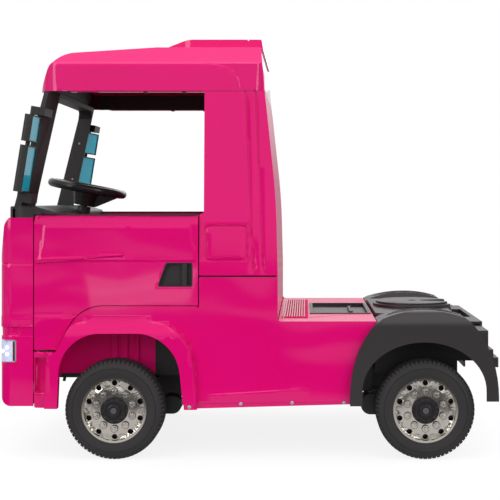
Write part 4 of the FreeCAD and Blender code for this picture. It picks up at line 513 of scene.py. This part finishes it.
@dataclass(frozen=True)
class Relief:
    """A panel whose outer skin carries embossed fields."""

    finish: Finish
    edge_mm: float
    fields: tuple[Emboss, ...]
    grid: float
    least_y: float
    side_facing: float = 0.3
    front_facing: float = 0.5

    def planes(self, low: Vector, high: Vector) -> Iterator[tuple[Vector, Vector]]:
        """Lists the cuts that the relief needs: a grid, and both ends of each slope.

        Args:
            low: the panel's least corner.
            high: its greatest corner.

        Returns:
            Each plane's spot and normal, in millimetres.
        """
        for axis in (0, 2):
            spot = low[axis] + self.grid
            while spot < high[axis] - self.grid / 2:
                middle, normal = Vector((0, 0, 0)), Vector((0, 0, 0))
                middle[axis], normal[axis] = spot, 1
                yield middle, normal
                spot += self.grid
        for field in self.fields:
            for (ax, az), (nx, nz), slope in field.edges():
                for shift in (0.0, slope):
                    yield Vector((ax + nx * shift, 0, az + nz * shift)), Vector((nx, 0, nz))

    def is_outer(self, face: bmesh.types.BMFace, vert: bmesh.types.BMVert) -> bool:
        """Tells whether a face belongs to the skin that is seen from the side or the front.

        Args:
            face: the face.
            vert: one of its corners.

        Returns:
            True where the corner has to carry the relief.
        """
        away = face.normal.y * math.copysign(1, vert.co.y) > self.side_facing
        far_enough = abs(vert.co.y) > self.least_y * MM
        return (away and far_enough) or face.normal.x < -self.front_facing

    def build(self, node: str) -> None:
        """Stands a copy of a CAD panel in its place, with the fields raised in its skin.

        Args:
            node: the CAD node's name.
        """
        bm = merged(node)
        low, high = (Vector([f(v.co[i] for v in bm.verts) for i in range(3)]) / MM for f in (min, max))
        for spot, normal in list(self.planes(low, high)):
            parts = bm.verts[:] + bm.edges[:] + bm.faces[:]
            bmesh.ops.bisect_plane(bm, geom=parts, dist=MERGE, plane_co=spot * MM, plane_no=normal)
        bmesh.ops.triangulate(bm, faces=[f for f in bm.faces if len(f.verts) > 4])
        bm.normal_update()
        moves = {}
        for vert in bm.verts:
            outer = [face.normal for face in vert.link_faces if self.is_outer(face, vert)]
            amount = sum(field.at(vert.co.x / MM, vert.co.z / MM) for field in self.fields)
            if outer and amount:
                moves[vert] = sum(outer, Vector()).normalized() * amount * MM
        for vert, move in moves.items():
            vert.co += move
            vert.co.x = max(vert.co.x, low.x * MM)
        stand_in("relief_" + node, bm, node, self.finish, self.edge_mm)


class Mouldings:
    """Every CAD node that keeps its shape, with the finish and the edge rounding of the real piece."""

    PLAIN = {
        PINK_THIN: (("rear_wall", 1.5), ("deck_plate", 1.2)),
        PINK_INSIDE: (("arch_liner_left", 0.8), ("arch_liner_right", 0.8)),
        BLACK: (
            ("grille", 0.6), ("windscreen_frame", 1.5), ("roof_liner", 0.8), ("door_handle_left", 0.8),
            ("door_handle_right", 0.8), ("rear_fender_left", 2.0), ("rear_fender_right", 2.0),
            ("tail_panel", 1.5), ("coupling_plate", 1.2), ("service_bay", 1.0), ("floor_pan", 1.2),
            ("rear_frame", 1.0), ("dashboard", 2.0),
        ),
        LINKAGE: (("front_axle_beam", 0.8), ("tie_rod", 0.4), ("steering_column", 0.5), ("rear_axle", 0.8)),
        GEARBOX: (("knuckle_left", 0.8), ("knuckle_right", 0.8)),
        SEAT: (("seat_base", 3.0), ("seat_back", 3.0)),
        BATTERY: (("battery", 2.0),),
        GRIP: (("steering_wheel", 0.5),),
        MIRROR_SHELL: (("mirror_left", 1.5), ("mirror_right", 1.5)),
        MIRROR_PANE: (("mirror_glass", 0.0),),
        TAIL: (("tail_lamps", 0.8),),
    }

    def build(self) -> None:
        """Dresses each node of the table."""
        for finish, nodes in self.PLAIN.items():
            for node, edge in nodes:
                dressed(node, finish, edge)


@dataclass
class Wheel:
    """One wheel: foam tyre with its tread, plated rim, lug nuts and stepped hub cap."""

    axle: str
    side: Side
    bead: float = 77.05
    groove_floor: float = 114.8
    lug_root: float = 0.8
    lugs: int = 68
    lug_lean: float = 0.025
    shoulder_share: float = 0.36
    rib_share: float = 0.44
    rib_pitch: float = 11.0
    nuts: int = 10
    nut_circle: float = 44.7
    disc_out: float = 31.0
    cap_out: float = 28.0
    cap_ribs: int = 12
    cap_rib_reach: float = 26.4
    cap_rib_half: Spot = (4.4, 2.6, 1.3)
    drum_radii: Point = (23.0, 72.6)
    drum_out: Point = (6.0, 9.0)

    @property
    def body(self) -> str:
        """The wheel's body."""
        return f"wheel_{self.axle}_{self.side.word}"

    @property
    def hub(self) -> list[float]:
        """The wheel's middle, where its spin joint is, in millimetres."""
        joint = next(j for j in frame["joints"] if j["name"] == f"{self.body}_spin")
        return [part / MM for part in joint["pos_m"]]

    @property
    def axis(self) -> tuple[float, float]:
        """The axle's place along X and its height."""
        return self.hub[0], self.hub[2]

    @property
    def root(self) -> float:
        """The radius of the lugs' roots, sunk into the tyre."""
        return self.groove_floor - self.lug_root

    def out(self, away: float) -> float:
        """A place along Y, given as the distance out from the wheel's middle."""
        return self.hub[1] + self.side.value * away

    def spot(self, radius: float, turn: float, away: float) -> Spot:
        """A place given by its radius, its turn about the axle and its distance out."""
        x, z = self.axis
        return x + radius * math.cos(turn), self.out(away), z + radius * math.sin(turn)

    def tag(self, word: str) -> str:
        """A piece's name on this wheel."""
        return f"{self.axle}_{self.side.word}_{word}"

    def turned(self, profile: list[Point], segments: int) -> Form:
        """A profile of (radius, distance out) turned about the axle."""
        return Form().lathe([(r, self.out(away)) for r, away in profile], *self.axis, segments)

    def carcass(self) -> None:
        """The tyre below its tread, with a sidewall groove and a raised bead ring."""
        half = [
            (self.bead, 37.0), (79.5, 38.6), (81.0, 38.2), (84.0, 39.4), (96.0, 40.0), (98.0, 39.9),
            (98.6, 38.9), (99.6, 38.9), (100.2, 39.8), (105.0, 38.4), (110.4, 35.0), (113.2, 31.0),
            (self.groove_floor, 26.0),
        ]
        profile = half + [(r, -away) for r, away in reversed(half)] + [half[0]]
        self.turned(profile, 120).stand_in(self.tag("carcass"), f"{self.axle}_tyre_{self.side.word}", FOAM)

    def drum(self) -> None:
        """The closed black middle that shows through the hand holes."""
        (hole, rim), (inner, outer) = self.drum_radii, self.drum_out
        ring = [(hole, inner), (rim, inner), (rim, outer), (hole, outer), (hole, inner)]
        self.turned(ring, 48).place(self.tag("drum"), CAP, self.body)

    def lug(self, bm: bmesh.types.BMesh, outline: list[Point], offset: float, share: float) -> None:
        """Adds the first lug of a row, swept about the axle and wider towards its top.

        Args:
            bm: the tread's mesh.
            outline: the lug's section, as (distance out, radius).
            offset: the row's start, as a share of the lugs' pitch.
            share: half the lug's length, as a share of the pitch.
        """
        turn = FULL_TURN / self.lugs * offset
        section = [bm.verts.new(Vector(self.spot(r, turn, away)) * MM) for away, r in outline]
        self.swing(section, -share)
        carried = bmesh.ops.extrude_face_region(bm, geom=[bm.faces.new(section)])["geom"]
        self.swing([part for part in carried if isinstance(part, bmesh.types.BMVert)], 2 * share)

    def swing(self, verts: list[bmesh.types.BMVert], share: float) -> None:
        """Turns points about the axle, further at a lug's top than at its root.

        Args:
            verts: the points.
            share: the turn at the root, as a share of the lugs' pitch.
        """
        axle = Vector((self.axis[0], 0, self.axis[1])) * MM
        for vert in verts:
            way = vert.co - axle
            height = math.hypot(way.x, way.z) / MM - self.root
            angle = FULL_TURN / self.lugs * share * (1 + self.lug_lean * height)
            vert.co = axle + Matrix.Rotation(-angle, 3, "Y") @ way

    def tread(self) -> None:
        """Blocks in five rows round the tyre; the outer rows fold over the shoulders."""
        root, top = self.root, self.hub[2]
        shoulder = [
            (16.5, root), (16.5, top), (27.5, top), (32.0, 114.6), (36.4, 108.9), (38.5, 104.2),
            (36.5, 103.6), (31.5, 111.6),
        ]
        rib = [(-3.4, root), (-3.4, top), (3.4, top), (3.4, root)]
        bm = bmesh.new()
        self.lug(bm, shoulder, 0.0, self.shoulder_share)
        self.lug(bm, [(-away, r) for away, r in shoulder], 0.5, self.shoulder_share)
        for row in (-1, 0, 1):
            self.lug(bm, [(away + row * self.rib_pitch, r) for away, r in rib], abs(row) / 2, self.rib_share)
        bmesh.ops.spin(
            bm, geom=bm.verts[:] + bm.edges[:] + bm.faces[:], cent=Vector(self.hub) * MM, axis=(0, 1, 0),
            angle=FULL_TURN * (1 - 1 / self.lugs), steps=self.lugs - 1, use_duplicate=True,
        )
        bmesh.ops.recalc_face_normals(bm, faces=bm.faces)
        place(self.tag("tread"), bm, FOAM, self.body)

    def lug_nuts(self) -> None:
        """Round-ended nuts on their washers, each on a darker ring that paints the shade round the nut, on
        the flat of the rim.
        """
        nuts, shade_rings = Form(), Form()
        for index in range(self.nuts):
            turn = FULL_TURN * index / self.nuts + QUARTER_TURN
            foot, ring_top, washer, shank, neck, head, tip = (
                self.spot(self.nut_circle, turn, self.disc_out + rise)
                for rise in (-1.0, 0.3, 1.6, 1.0, 4.0, 5.0, 6.6)
            )
            # a darker disc under each washer: painted shade round the nut
            shade_rings.rod(foot, ring_top, 9.0, 24)
            nuts.rod(foot, washer, 7.9, 24)
            nuts.rod(shank, head, 6.4, 6)
            nuts.rod(neck, tip, 5.4, 16, tip=3.6)
        nuts.place(self.tag("lug_nuts"), CHROME, self.body, 0.5)
        shade_rings.place(self.tag("nut_seats"), BOLT, self.body)

    def hub_cap(self) -> None:
        """Stepped cap with fine rings, radial ribs and a grey bolt in the middle."""
        rings = [
            (0, 0), (33, 0), (33, 4), (31.5, 4.8), (29.5, 5.2), (28.5, 7.0), (25.5, 10.6), (24.4, 12.0),
            (21.5, 12.3), (20.5, 10.8), (16.6, 10.8), (15.4, 12.4), (14.8, 15.2), (13.4, 16.0), (10.0, 16.0),
            (8.8, 14.6), (0, 14.6),
        ]
        cap = self.turned([(r, self.cap_out + rise) for r, rise in rings], 64)
        cap.stand_in(self.tag("cap"), f"{self.axle}_hub_cap_{self.side.word}", CAP)
        ribs = Form()
        half = Vector(self.cap_rib_half)
        for index in range(self.cap_ribs):
            turn = FULL_TURN * index / self.cap_ribs
            middle = Vector(self.spot(self.cap_rib_reach, turn, self.cap_out + 8.2))
            ribs.box(middle - half, middle + half, Matrix.Rotation(-turn, 4, "Y"))
        ribs.place(self.tag("cap_ribs"), CAP, self.body, 0.4)
        flange, face, head, tip = (self.spot(0, 0, self.cap_out + rise) for rise in (13.6, 15.4, 14.6, 16.0))
        bolt = Form().rod(flange, face, 7.4, 32).rod(head, tip, 5.0, 6)
        bolt.place(self.tag("cap_bolt"), BOLT, self.body, 0.3)

    def build(self) -> None:
        """Builds the wheel's pieces."""
        self.carcass()
        self.drum()
        self.tread()
        dressed(f"{self.axle}_rim_{self.side.word}", CHROME, 0.0)
        self.lug_nuts()
        self.hub_cap()


@dataclass
class Skin:
    """The pink panels with their moulded creases, ledges and fields, and the small pieces on them."""

    edge: float = 1.2
    sill_strip: Block = Block((-506, -121), (300.5, 305), (579.6, 583.4))
    roof_lip: Block = Block((-430, 24), (272, 289), (877.4, 879.9))
    clip_x: Point = (-250.0, -157.0)
    clip_half: float = 4.5
    clip_y: Point = (274, 289.4)
    clip_z: Point = (875.6, 879.9)
    # black strips deep in the door and roof gaps, painted shade
    seals: tuple[Block, ...] = (
        Block((-519, -504), (300, 303), (268, 566)),
        Block((-125, -112), (300, 303), (372, 575)),
        Block((-117, 66), (309, 312), (430, 443)),
        Block((-438, 28), (284, 290.3), (879.2, 880.6)),
        Block((-508, -479), (306, 317.4), (256.4, 259.2)),
    )
    door_edge: tuple[Point, ...] = (
        (-428.0, 316.4), (-419.0, 330.5), (-407.6, 342.7), (-394.1, 352.6), (-379.1, 360.0), (-363.0, 364.5),
        (-346.3, 366.0), (-122.0, 366.0),
    )
    lip_gap: float = 1.9
    lip_depth: float = 11.0
    lip_y: Point = (306, 317.6)
    skirt_screws: tuple[Spot, ...] = (
        (-139.0, 333.0, 126.0), (-18.0, 318.8, 131.5), (104.4, 318.8, 134.0), (228.3, 318.8, 134.0),
    )
    pillar_screws: tuple[Point, ...] = ((-485.0, 868.0), (-511.6, 778.8), (-531.7, 677.0))
    pillar_foot: Point = (226.0, 596.0)
    pillar_lean: float = 6 / 284

    def doors(self) -> None:
        """Doors: top edge that leans in, upper field, and the ledge above the arch."""
        fields = (
            Emboss(((-620, 561, 20), (0, 561, 200), (0, 700, 200), (-620, 700, 200)), -4.6),
            Emboss(((-500.5, 470, 3), (-122, 470, 3), (-140, 558, 3), (-486, 558, 3)), 1.3),
            Emboss(((-640, 344, 9), (-405, 344, 40), (-430, 300, 45), (-640, 270, 200)), 2.2),
        )
        for side in Side:
            Relief(PINK, self.edge, fields, 9.0, 300).build(f"door_{side.word}")

    def side_panels(self) -> None:
        """Lower side panels with their bottom flange and the ridge above it, and the plain sleeper sides."""
        fields = (
            Emboss(((-160, 132.5, 2), (320, 137.5, 200), (320, -80, 200), (-160, -80, 8)), -2.0),
            Emboss(((-100, 154, 2), (150, 169, 60), (130, 140, 16), (-90, 138, 20)), 1.8),
        )
        for side in Side:
            Relief(PINK, self.edge, fields, 14.0, 312).build(f"side_panel_{side.word}")
            Relief(PINK, self.edge, (), 16.0, 280).build(f"sleeper_side_{side.word}")

    def fascia(self) -> None:
        """Nose: a fine crease, the ledge that runs on from the door, and the recess over each headlamp."""
        fields = (
            Emboss(((-760, 466, 1.5), (-400, 466, 300), (-400, 463, 1.5), (-760, 463, 300)), -1.4),
            Emboss(((-760, 344, 9), (-400, 344, 300), (-400, 290, 40), (-760, 290, 300)), 1.6),
            Emboss(((-574, 315, 1.5), (-546, 315, 1.5), (-546, 293, 1.5), (-574, 293, 1.5)), -1.8),
        )
        Relief(PINK, self.edge, fields, 11.0, 285).build("front_fascia")

    def roof(self) -> None:
        """Roof: the belt along each side, which ends in a round sweep."""
        belt = (
            (-640, 945, 3), (-78, 945, 3), (-50, 938, 3), (-34, 926, 3), (-24, 908, 3), (-20, 884, 3),
            (-20, 700, 300), (-640, 700, 300),
        )
        Relief(PINK, 1.5, (Emboss(belt, 2.0),), 12.0, 262).build("roof_shell")

    def trims(self) -> None:
        """Black sill strips, pink lips and black clips under the roof, and black strips in the gaps that
        paint the shade there.
        """
        for side in Side:
            strip = Form().block(self.sill_strip, side)
            strip.place(f"sill_strip_{side.word}", BLACK, f"door_{side.word}", 0.8)
            Form().block(self.roof_lip, side).place(f"roof_lip_{side.word}", PINK, "root", 0.6)
            clips = Form()
            for x in self.clip_x:
                clips.block(Block((x - self.clip_half, x + self.clip_half), self.clip_y, self.clip_z), side)
            clips.place(f"roof_clips_{side.word}", BLACK, "root", 0.8)
            # black strips that paint the shade in the gaps
            seals = Form()
            for gap_shade in self.seals:
                seals.block(gap_shade, side)
            seals.place(f"seals_{side.word}", BLACK, "root")

    def arch_lips(self) -> None:
        """Lips on the side panels that close in on the doors' lower edges, above the arches."""
        edge = self.door_edge
        near, deep = [], []
        for a, spot, b in zip(edge[:1] + edge, edge, edge[1:] + edge[-1:]):
            run, climb = b[0] - a[0], b[1] - a[1]
            size = math.hypot(run, climb)
            for line, away in ((near, self.lip_gap), (deep, self.lip_depth)):
                line.append((spot[0] + climb / size * away, spot[1] - run / size * away))
        for side in Side:
            inner, outer = (side.value * y for y in self.lip_y)
            lip = Form().prism(near + deep[::-1], 1, inner, outer)
            lip.place(f"arch_lip_{side.word}", PINK, "root")

    def screws(self) -> None:
        """Zinc screws along the skirts and down the inner faces of the pillars."""
        for side in Side:
            heads = Form()
            for x, skin, z in self.skirt_screws:
                foot, rim, face, tip = ((x, side.value * (skin + y), z) for y in (-4, 1.2, 1.0, 2.6))
                heads.rod(foot, rim, 4.4, 16).rod(face, tip, 4.0, 16, tip=2.2)
            heads.place(f"skirt_screws_{side.word}", ZINC, "root")
            heads = Form()
            foot_y, foot_z = self.pillar_foot
            for x, z in self.pillar_screws:
                inner = foot_y - self.pillar_lean * (z - foot_z)
                foot, tip = ((x, side.value * (inner + y), z) for y in (2, -1.4))
                heads.rod(foot, tip, 3.4, 16, tip=2.4)
            heads.place(f"pillar_screws_{side.word}", ZINC, "root")

    def build(self) -> None:
        """Builds the panels and their trims."""
        self.doors()
        self.side_panels()
        self.fascia()
        self.roof()
        self.trims()
        self.arch_lips()
        self.screws()


@dataclass
class Lamps:
    """Headlamps and fog lamps: bezel, bowl, middles that glow as painted highlights and a red marker line on
    the side of the nose.
    """

    wrap: float = 41.5
    front_inset: float = 12.0
    low: float = 230.5
    high: float = 283.5
    depth: float = 4.0
    bezel_proud: float = 0.9
    bezel_side: float = 3.2
    bezel_edge: float = 2.4
    bulbs: tuple[Spot, ...] = ((20.25, 265.0, 6.0), (20.25, 249.0, 6.0), (8.25, 257.0, 4.5))
    bulb_tip: float = 0.6
    fog: Block = Block((-593.0, -577.0), (140, 252), (183, 202))

    def upright(self, side: Side, start: float, end: float, proud: float, inset: float) -> Form:
        """An upright strip at a headlamp's rear end, between two distances from that end."""
        rear, y = NOSE_X + self.wrap, (BODY_HALF - self.depth, BODY_HALF + proud)
        return Form().block(Block((rear - start, rear - end), y, (self.low + inset, self.high - inset)), side)

    def build(self) -> None:
        """Builds the lamps of both sides."""
        dressed("headlamps", LAMP, 0.5)
        rear, y = NOSE_X + self.wrap, (BODY_HALF - self.depth, BODY_HALF + self.bezel_proud)
        edges = (NOSE_X + self.front_inset, rear)
        for side in Side:
            bezel = Form().block(Block((rear - self.bezel_side, rear), y, (self.low, self.high)), side)
            bezel.block(Block(edges, y, (self.high - self.bezel_edge, self.high)), side)
            bezel.block(Block(edges, y, (self.low, self.low + self.bezel_edge)), side)
            bezel.place(f"lamp_bezel_{side.word}", ZINC, "root", 0.4)
            shadow = self.upright(side, 7.0, self.bezel_side, 0.4, 3.0)
            shadow.place(f"lamp_shadow_{side.word}", BLACK, "root")
            self.upright(side, 8.4, 7.0, 0.6, 4.0).place(f"lamp_marker_{side.word}", MARKER, "root")
            diodes = Form()
            for x, z, radius in self.bulbs:
                foot, tip = ((NOSE_X + x, side.value * end, z) for end in y)
                diodes.rod(foot, tip, radius, 24, tip=radius * self.bulb_tip)
            # the domes' white glow is a painted highlight
            diodes.place(f"lamp_diodes_{side.word}", PAINTED_GLINT, "root", 0.3)
            Form().block(self.fog, side).place(f"fog_lens_{side.word}", SMOKED, "root", 1.0)


@dataclass
class Arches:
    """Inside of the arches: ribs on the liners, webs under the floor and splash plates by the springs."""

    rib_x: tuple[Point, ...] = ((-347.0, -328.0), (-322.0, -303.0), (-287.0, -275.0))
    rib_y: Point = (204, 211)
    rib_z: Point = (206, 296)
    web: Block = Block((-238, -146), (98.5, 101.5), (111, 186))
    splash: Block = Block((264, 301), (213.4, 216.4), (144, 262))

    def build(self) -> None:
        """Builds the pieces of both sides."""
        for side in Side:
            ribs = Form()
            for x in self.rib_x:
                ribs.block(Block(x, self.rib_y, self.rib_z), side)
            ribs.place(f"liner_ribs_{side.word}", PINK_INSIDE, "root", 3.0)
            Form().block(self.web, side).place(f"floor_web_{side.word}", BLACK, "root", 0.8)
            Form().block(self.splash, side).place(f"splash_plate_{side.word}", BLACK, "root", 0.8)


@dataclass
class Deck:
    """Deck, fender crowns and the rear springs: ribs, ridges and coils that the big mouldings carry."""

    rib_x: Point = (78.0, 138.0)
    rib_pitch: float = 6.0
    rib_width: float = 2.8
    rib_half: float = 238.0
    rib_z: Point = (329.5, 331.3)
    crown_middle: Point = (421.75, 51.0)
    crown_curve: float = 301.0
    ridges: tuple[Point, ...] = ((248.0, 74.0), (265.0, 86.0), (281.0, 92.0))
    ridge_width: float = 2.2
    ridge_height: float = 0.9
    ridge_root: float = 3.0
    ridge_steps: int = 16
    spring_y: float = 199.0
    spring_foot: Point = (372.0, 138.0)
    spring_head: Point = (352.0, 262.0)
    spring_bracket: Block = Block((340, 364), (182, 206), (256, 270))
    coil_foot: float = 0.08
    coil_reach: float = 0.84
    coil_radius: float = 17.0
    coil_wire: float = 3.6
    coil_turns: int = 6
    coil_steps: int = 20

    def cross_ribs(self) -> None:
        """Fine cross ribs over the front of the deck."""
        form = Form()
        start, end = self.rib_x
        for index in range(round((end - start) / self.rib_pitch)):
            x = start + index * self.rib_pitch
            form.box((x, -self.rib_half, self.rib_z[0]), (x + self.rib_width, self.rib_half, self.rib_z[1]))
        form.place("deck_cross_ribs", PINK, "root", 0.4)

    def crown_line(self, half: float, rise: float) -> list[Point]:
        """Points along a fender's crown.

        Args:
            half: half the line's length.
            rise: its height over the crown.

        Returns:
            The points (x, z) from front to rear.
        """
        middle_x, middle_z = self.crown_middle
        radius = self.crown_curve + rise
        steps = [half * (2 * i / self.ridge_steps - 1) for i in range(self.ridge_steps + 1)]
        return [(middle_x + step, middle_z + math.sqrt(radius**2 - step**2)) for step in steps]

    def crown_ridges(self) -> None:
        """Three raised lines that run over each fender's crown."""
        for side in Side:
            form = Form()
            for y, half in self.ridges:
                outline = self.crown_line(half, self.ridge_height)
                outline += self.crown_line(half, -self.ridge_root)[::-1]
                form.prism(outline, 1, side.value * y, side.value * (y + self.ridge_width))
            form.place(f"crown_ridges_{side.word}", BLACK, "root", 0.4)

    def springs(self) -> None:
        """A damper and its coil at each end of the rear axle, between the gear case and the frame."""
        up = Vector((0, 0, 1))
        for side in Side:
            y = side.value * self.spring_y
            low, high = (Vector((x, y, z)) for x, z in (self.spring_foot, self.spring_head))
            form = Form().rod(low, high, 6.0, 16)
            form.rod(high - up * 6, high + up * 6, 12, 20)
            form.block(self.spring_bracket, side)
            form.rod(low, low + up * 8, 19, 20)
            form.place(f"damper_{side.word}", LINKAGE, "root", 0.6)
            place(f"coil_spring_{side.word}", self.coil(low, high), LINKAGE, "root")

    def coil(self, low: Vector, high: Vector) -> bmesh.types.BMesh:
        """A round wire wound about a line.

        Args:
            low: the line's foot, in millimetres.
            high: its head.

        Returns:
            The coil's mesh.
        """
        curve = bpy.data.curves.new("coil", "CURVE")
        curve.dimensions = "3D"
        curve.bevel_depth = self.coil_wire * MM
        curve.bevel_resolution = 3
        spline = curve.splines.new("POLY")
        count = self.coil_turns * self.coil_steps
        spline.points.add(count)
        level = Vector((0, 1, 0))
        across = (high - low).normalized().cross(level).normalized()
        for index, point in enumerate(spline.points):
            turn = FULL_TURN * index / self.coil_steps
            spot = low.lerp(high, self.coil_foot + self.coil_reach * index / count)
            spot += (across * math.cos(turn) + level * math.sin(turn)) * self.coil_radius
            point.co = (*(spot * MM), 1.0)
        holder = bpy.data.objects.new("coil_curve", curve)
        bpy.context.scene.collection.objects.link(holder)
        made = bpy.data.meshes.new_from_object(holder.evaluated_get(bpy.context.evaluated_depsgraph_get()))
        bm = bmesh.new()
        bm.from_mesh(made)
        bpy.data.objects.remove(holder)
        bpy.data.meshes.remove(made)
        bmesh.ops.recalc_face_normals(bm, faces=bm.faces)
        return bm

    def build(self) -> None:
        """Builds the deck's details."""
        self.cross_ribs()
        self.crown_ridges()
        self.springs()


@dataclass(frozen=True)
class SoftBox:
    """A large soft lamp: its place, the spot that it looks at, its size in metres and its power in watts."""

    name: str
    spot: Spot
    target: Spot
    size: Point
    power: float

    def build(self) -> None:
        """Hangs the lamp."""
        data = bpy.data.lights.new(self.name, "AREA")
        data.shape = "RECTANGLE"
        data.size, data.size_y = self.size
        data.energy = self.power
        lamp = bpy.data.objects.new(self.name, data)
        bpy.context.scene.collection.objects.link(lamp)
        lamp.location = self.spot
        lamp.rotation_euler = (Vector(self.target) - Vector(self.spot)).to_track_quat("-Z", "Y").to_euler()


@dataclass
class Studio:
    """The pale floor, the soft lamps, the white surround and the camera of the photograph."""

    lens: float = 80.7
    camera_place: Spot = (0.13525, -2.99, 0.617)
    shift: Point = (-0.11, -0.10)
    floor_half: float = 12.0
    paper_share: float = 0.85
    paper_edge: Point = (0.5, 1.5)
    floor_cloud: float = 0.9
    floor_cloud_edge: Point = (0.5, 0.56)
    floor_sheen: float = 0.42
    far_floor: Point = (0.4, 0.9)
    sky_cloud: float = 4.5
    sky_cloud_depth: float = 0.4
    sky_edge: Point = (0.2, 0.34)
    sky_low: float = 0.03
    sky_high: float = 0.42
    far_sky: Point = (0.4, 0.8)
    far_white: float = 0.36
    light: float = 1.1
    boxes: tuple[SoftBox, ...] = (
        SoftBox("box_over", (0.0, -0.6, 3.2), (0, 0, 0.4), (3.6, 2.6), 24),
        SoftBox("box_camera_left", (-2.6, -3.0, 1.7), (0, 0, 0.6), (1.6, 2.6), 32),
        SoftBox("box_camera_right", (2.6, -2.8, 2.0), (0.1, 0, 0.5), (1.4, 2.4), 24),
        SoftBox("box_far", (0.3, 3.4, 2.2), (0, 0, 0.5), (3.4, 2.0), 26),
        SoftBox("card_low", (-0.685, -3.2, 0.184), (-0.685, 0, 0.184), (0.5, 0.17), 0.32),
    )

    def build(self) -> None:
        """Sets the stage."""
        self.camera()
        self.floor()
        self.surround()
        for box in self.boxes:
            box.build()

    def camera(self) -> None:
        """A level camera that looks along +Y at the left side."""
        data = bpy.data.cameras.new("photo_camera")
        data.lens = self.lens
        data.shift_x, data.shift_y = self.shift
        camera = bpy.data.objects.new("photo_camera", data)
        bpy.context.scene.collection.objects.link(camera)
        camera.location = self.camera_place
        camera.rotation_euler = (QUARTER_TURN, 0, 0)
        bpy.context.scene.camera = camera

    def floor(self) -> None:
        """A pale floor that keeps the truck's shadow."""
        bm = bmesh.new()
        bmesh.ops.create_grid(bm, x_segments=1, y_segments=1, size=self.floor_half)
        mesh = bpy.data.meshes.new("studio_floor")
        bm.to_mesh(mesh)
        bm.free()
        floor = bpy.data.objects.new("studio_floor", mesh)
        bpy.context.scene.collection.objects.link(floor)
        mesh.materials.append(self.paper())

    def paper(self) -> bpy.types.Material:
        """White paper near the truck that turns to a plain white further off, with a patchy sheen.

        Returns:
            The floor's material.
        """
        made = bpy.data.materials.new("studio_paper")
        made.use_nodes = True
        tree = made.node_tree
        tree.nodes.clear()
        place = add_node(tree, "ShaderNodeTexCoord").outputs["Object"]
        away = add_node(tree, "ShaderNodeVectorMath", {0: place}, operation="LENGTH").outputs["Value"]
        near, far = self.paper_edge
        edge = add_node(
            tree, "ShaderNodeMapRange",
            {"Value": away, "From Min": near, "From Max": far, "To Min": self.paper_share},
            interpolation_type="SMOOTHSTEP",
        ).outputs[0]
        paper = add_node(tree, "ShaderNodeBsdfDiffuse", {"Color": linear("#FFFFFF")})
        seen = add_node(tree, "ShaderNodeLightPath").outputs["Is Camera Ray"]
        cloud = add_node(
            tree, "ShaderNodeTexNoise", {"Vector": place, "Scale": self.floor_cloud, "Detail": 0.0}
        ).outputs[0]
        low, high = self.floor_cloud_edge
        dim, bright = self.sky_low, self.floor_sheen
        sheen = add_node(
            tree, "ShaderNodeMapRange",
            {"Value": cloud, "From Min": low, "From Max": high, "To Min": dim, "To Max": bright},
        ).outputs[0]
        depth = add_node(tree, "ShaderNodeSeparateXYZ", {0: place}).outputs["Y"]
        near, far = self.far_floor
        beyond = add_node(
            tree, "ShaderNodeMapRange",
            {"Value": depth, "From Min": near, "From Max": far, "To Max": self.far_white},
        ).outputs[0]
        sheen = add_node(tree, "ShaderNodeMath", {0: sheen, 1: beyond}, operation="MAXIMUM").outputs[0]
        level = add_node(tree, "ShaderNodeMapRange", {"Value": seen, "To Min": sheen}).outputs[0]
        white = add_node(tree, "ShaderNodeEmission", {"Color": linear("#FFFFFF"), "Strength": level})
        mixed = add_node(tree, "ShaderNodeMixShader", {0: edge, 1: paper.outputs[0], 2: white.outputs[0]})
        add_node(tree, "ShaderNodeOutputMaterial", {"Surface": mixed.outputs[0]})
        return made

    def surround(self) -> None:
        """White to the camera and through glass, a cloudy sky to shiny skins, a plain light to the rest."""
        world = bpy.data.worlds.new("studio_surround")
        bpy.context.scene.world = world
        world.use_nodes = True
        tree = world.node_tree
        tree.nodes.clear()
        path = add_node(tree, "ShaderNodeLightPath").outputs
        seen = add_node(
            tree, "ShaderNodeMath", {0: path["Is Camera Ray"], 1: path["Is Transmission Ray"]},
            operation="MAXIMUM",
        ).outputs[0]
        way = add_node(tree, "ShaderNodeTexCoord").outputs["Generated"]
        parts = add_node(tree, "ShaderNodeSeparateXYZ", {0: way}).outputs
        cloud = add_node(
            tree, "ShaderNodeTexNoise", {"Vector": way, "Scale": self.sky_cloud, "Detail": 0.0}
        ).outputs[0]
        spread = add_node(
            tree, "ShaderNodeMath", {0: cloud, 1: self.sky_cloud_depth}, operation="MULTIPLY"
        ).outputs[0]
        raised = add_node(tree, "ShaderNodeMath", {0: parts["Z"], 1: spread}, operation="ADD").outputs[0]
        low, high = self.sky_edge
        dim, bright = self.sky_low, self.sky_high
        sky = add_node(
            tree, "ShaderNodeMapRange",
            {"Value": raised, "From Min": low, "From Max": high, "To Min": dim, "To Max": bright},
            interpolation_type="SMOOTHSTEP",
        ).outputs[0]
        near, far = self.far_sky
        behind = add_node(
            tree, "ShaderNodeMapRange",
            {"Value": parts["Y"], "From Min": near, "From Max": far, "To Max": self.far_white},
        ).outputs[0]
        sky = add_node(tree, "ShaderNodeMath", {0: sky, 1: behind}, operation="ADD").outputs[0]
        shine = add_node(
            tree, "ShaderNodeMapRange", {"Value": path["Is Glossy Ray"], "To Min": self.light, "To Max": sky}
        ).outputs[0]
        light = add_node(tree, "ShaderNodeBackground", {"Color": linear("#FFFFFF"), "Strength": shine})
        white = add_node(tree, "ShaderNodeBackground", {"Color": linear("#FFFFFF"), "Strength": 1.0})
        mixed = add_node(tree, "ShaderNodeMixShader", {0: seen, 1: light.outputs[0], 2: white.outputs[0]})
        add_node(tree, "ShaderNodeOutputWorld", {"Surface": mixed.outputs[0]})


def main() -> None:
    """Builds the studio and the truck's sub-assemblies in order."""
    logging.basicConfig(level=logging.INFO)
    bpy.context.scene.view_settings.view_transform = "Standard"
    Studio().build()
    Mouldings().build()
    Skin().build()
    Lamps().build()
    Arches().build()
    Deck().build()
    for axle in ("front", "rear"):
        for side in Side:
            Wheel(axle, side).build()


if __name__ == "__main__":
    main()
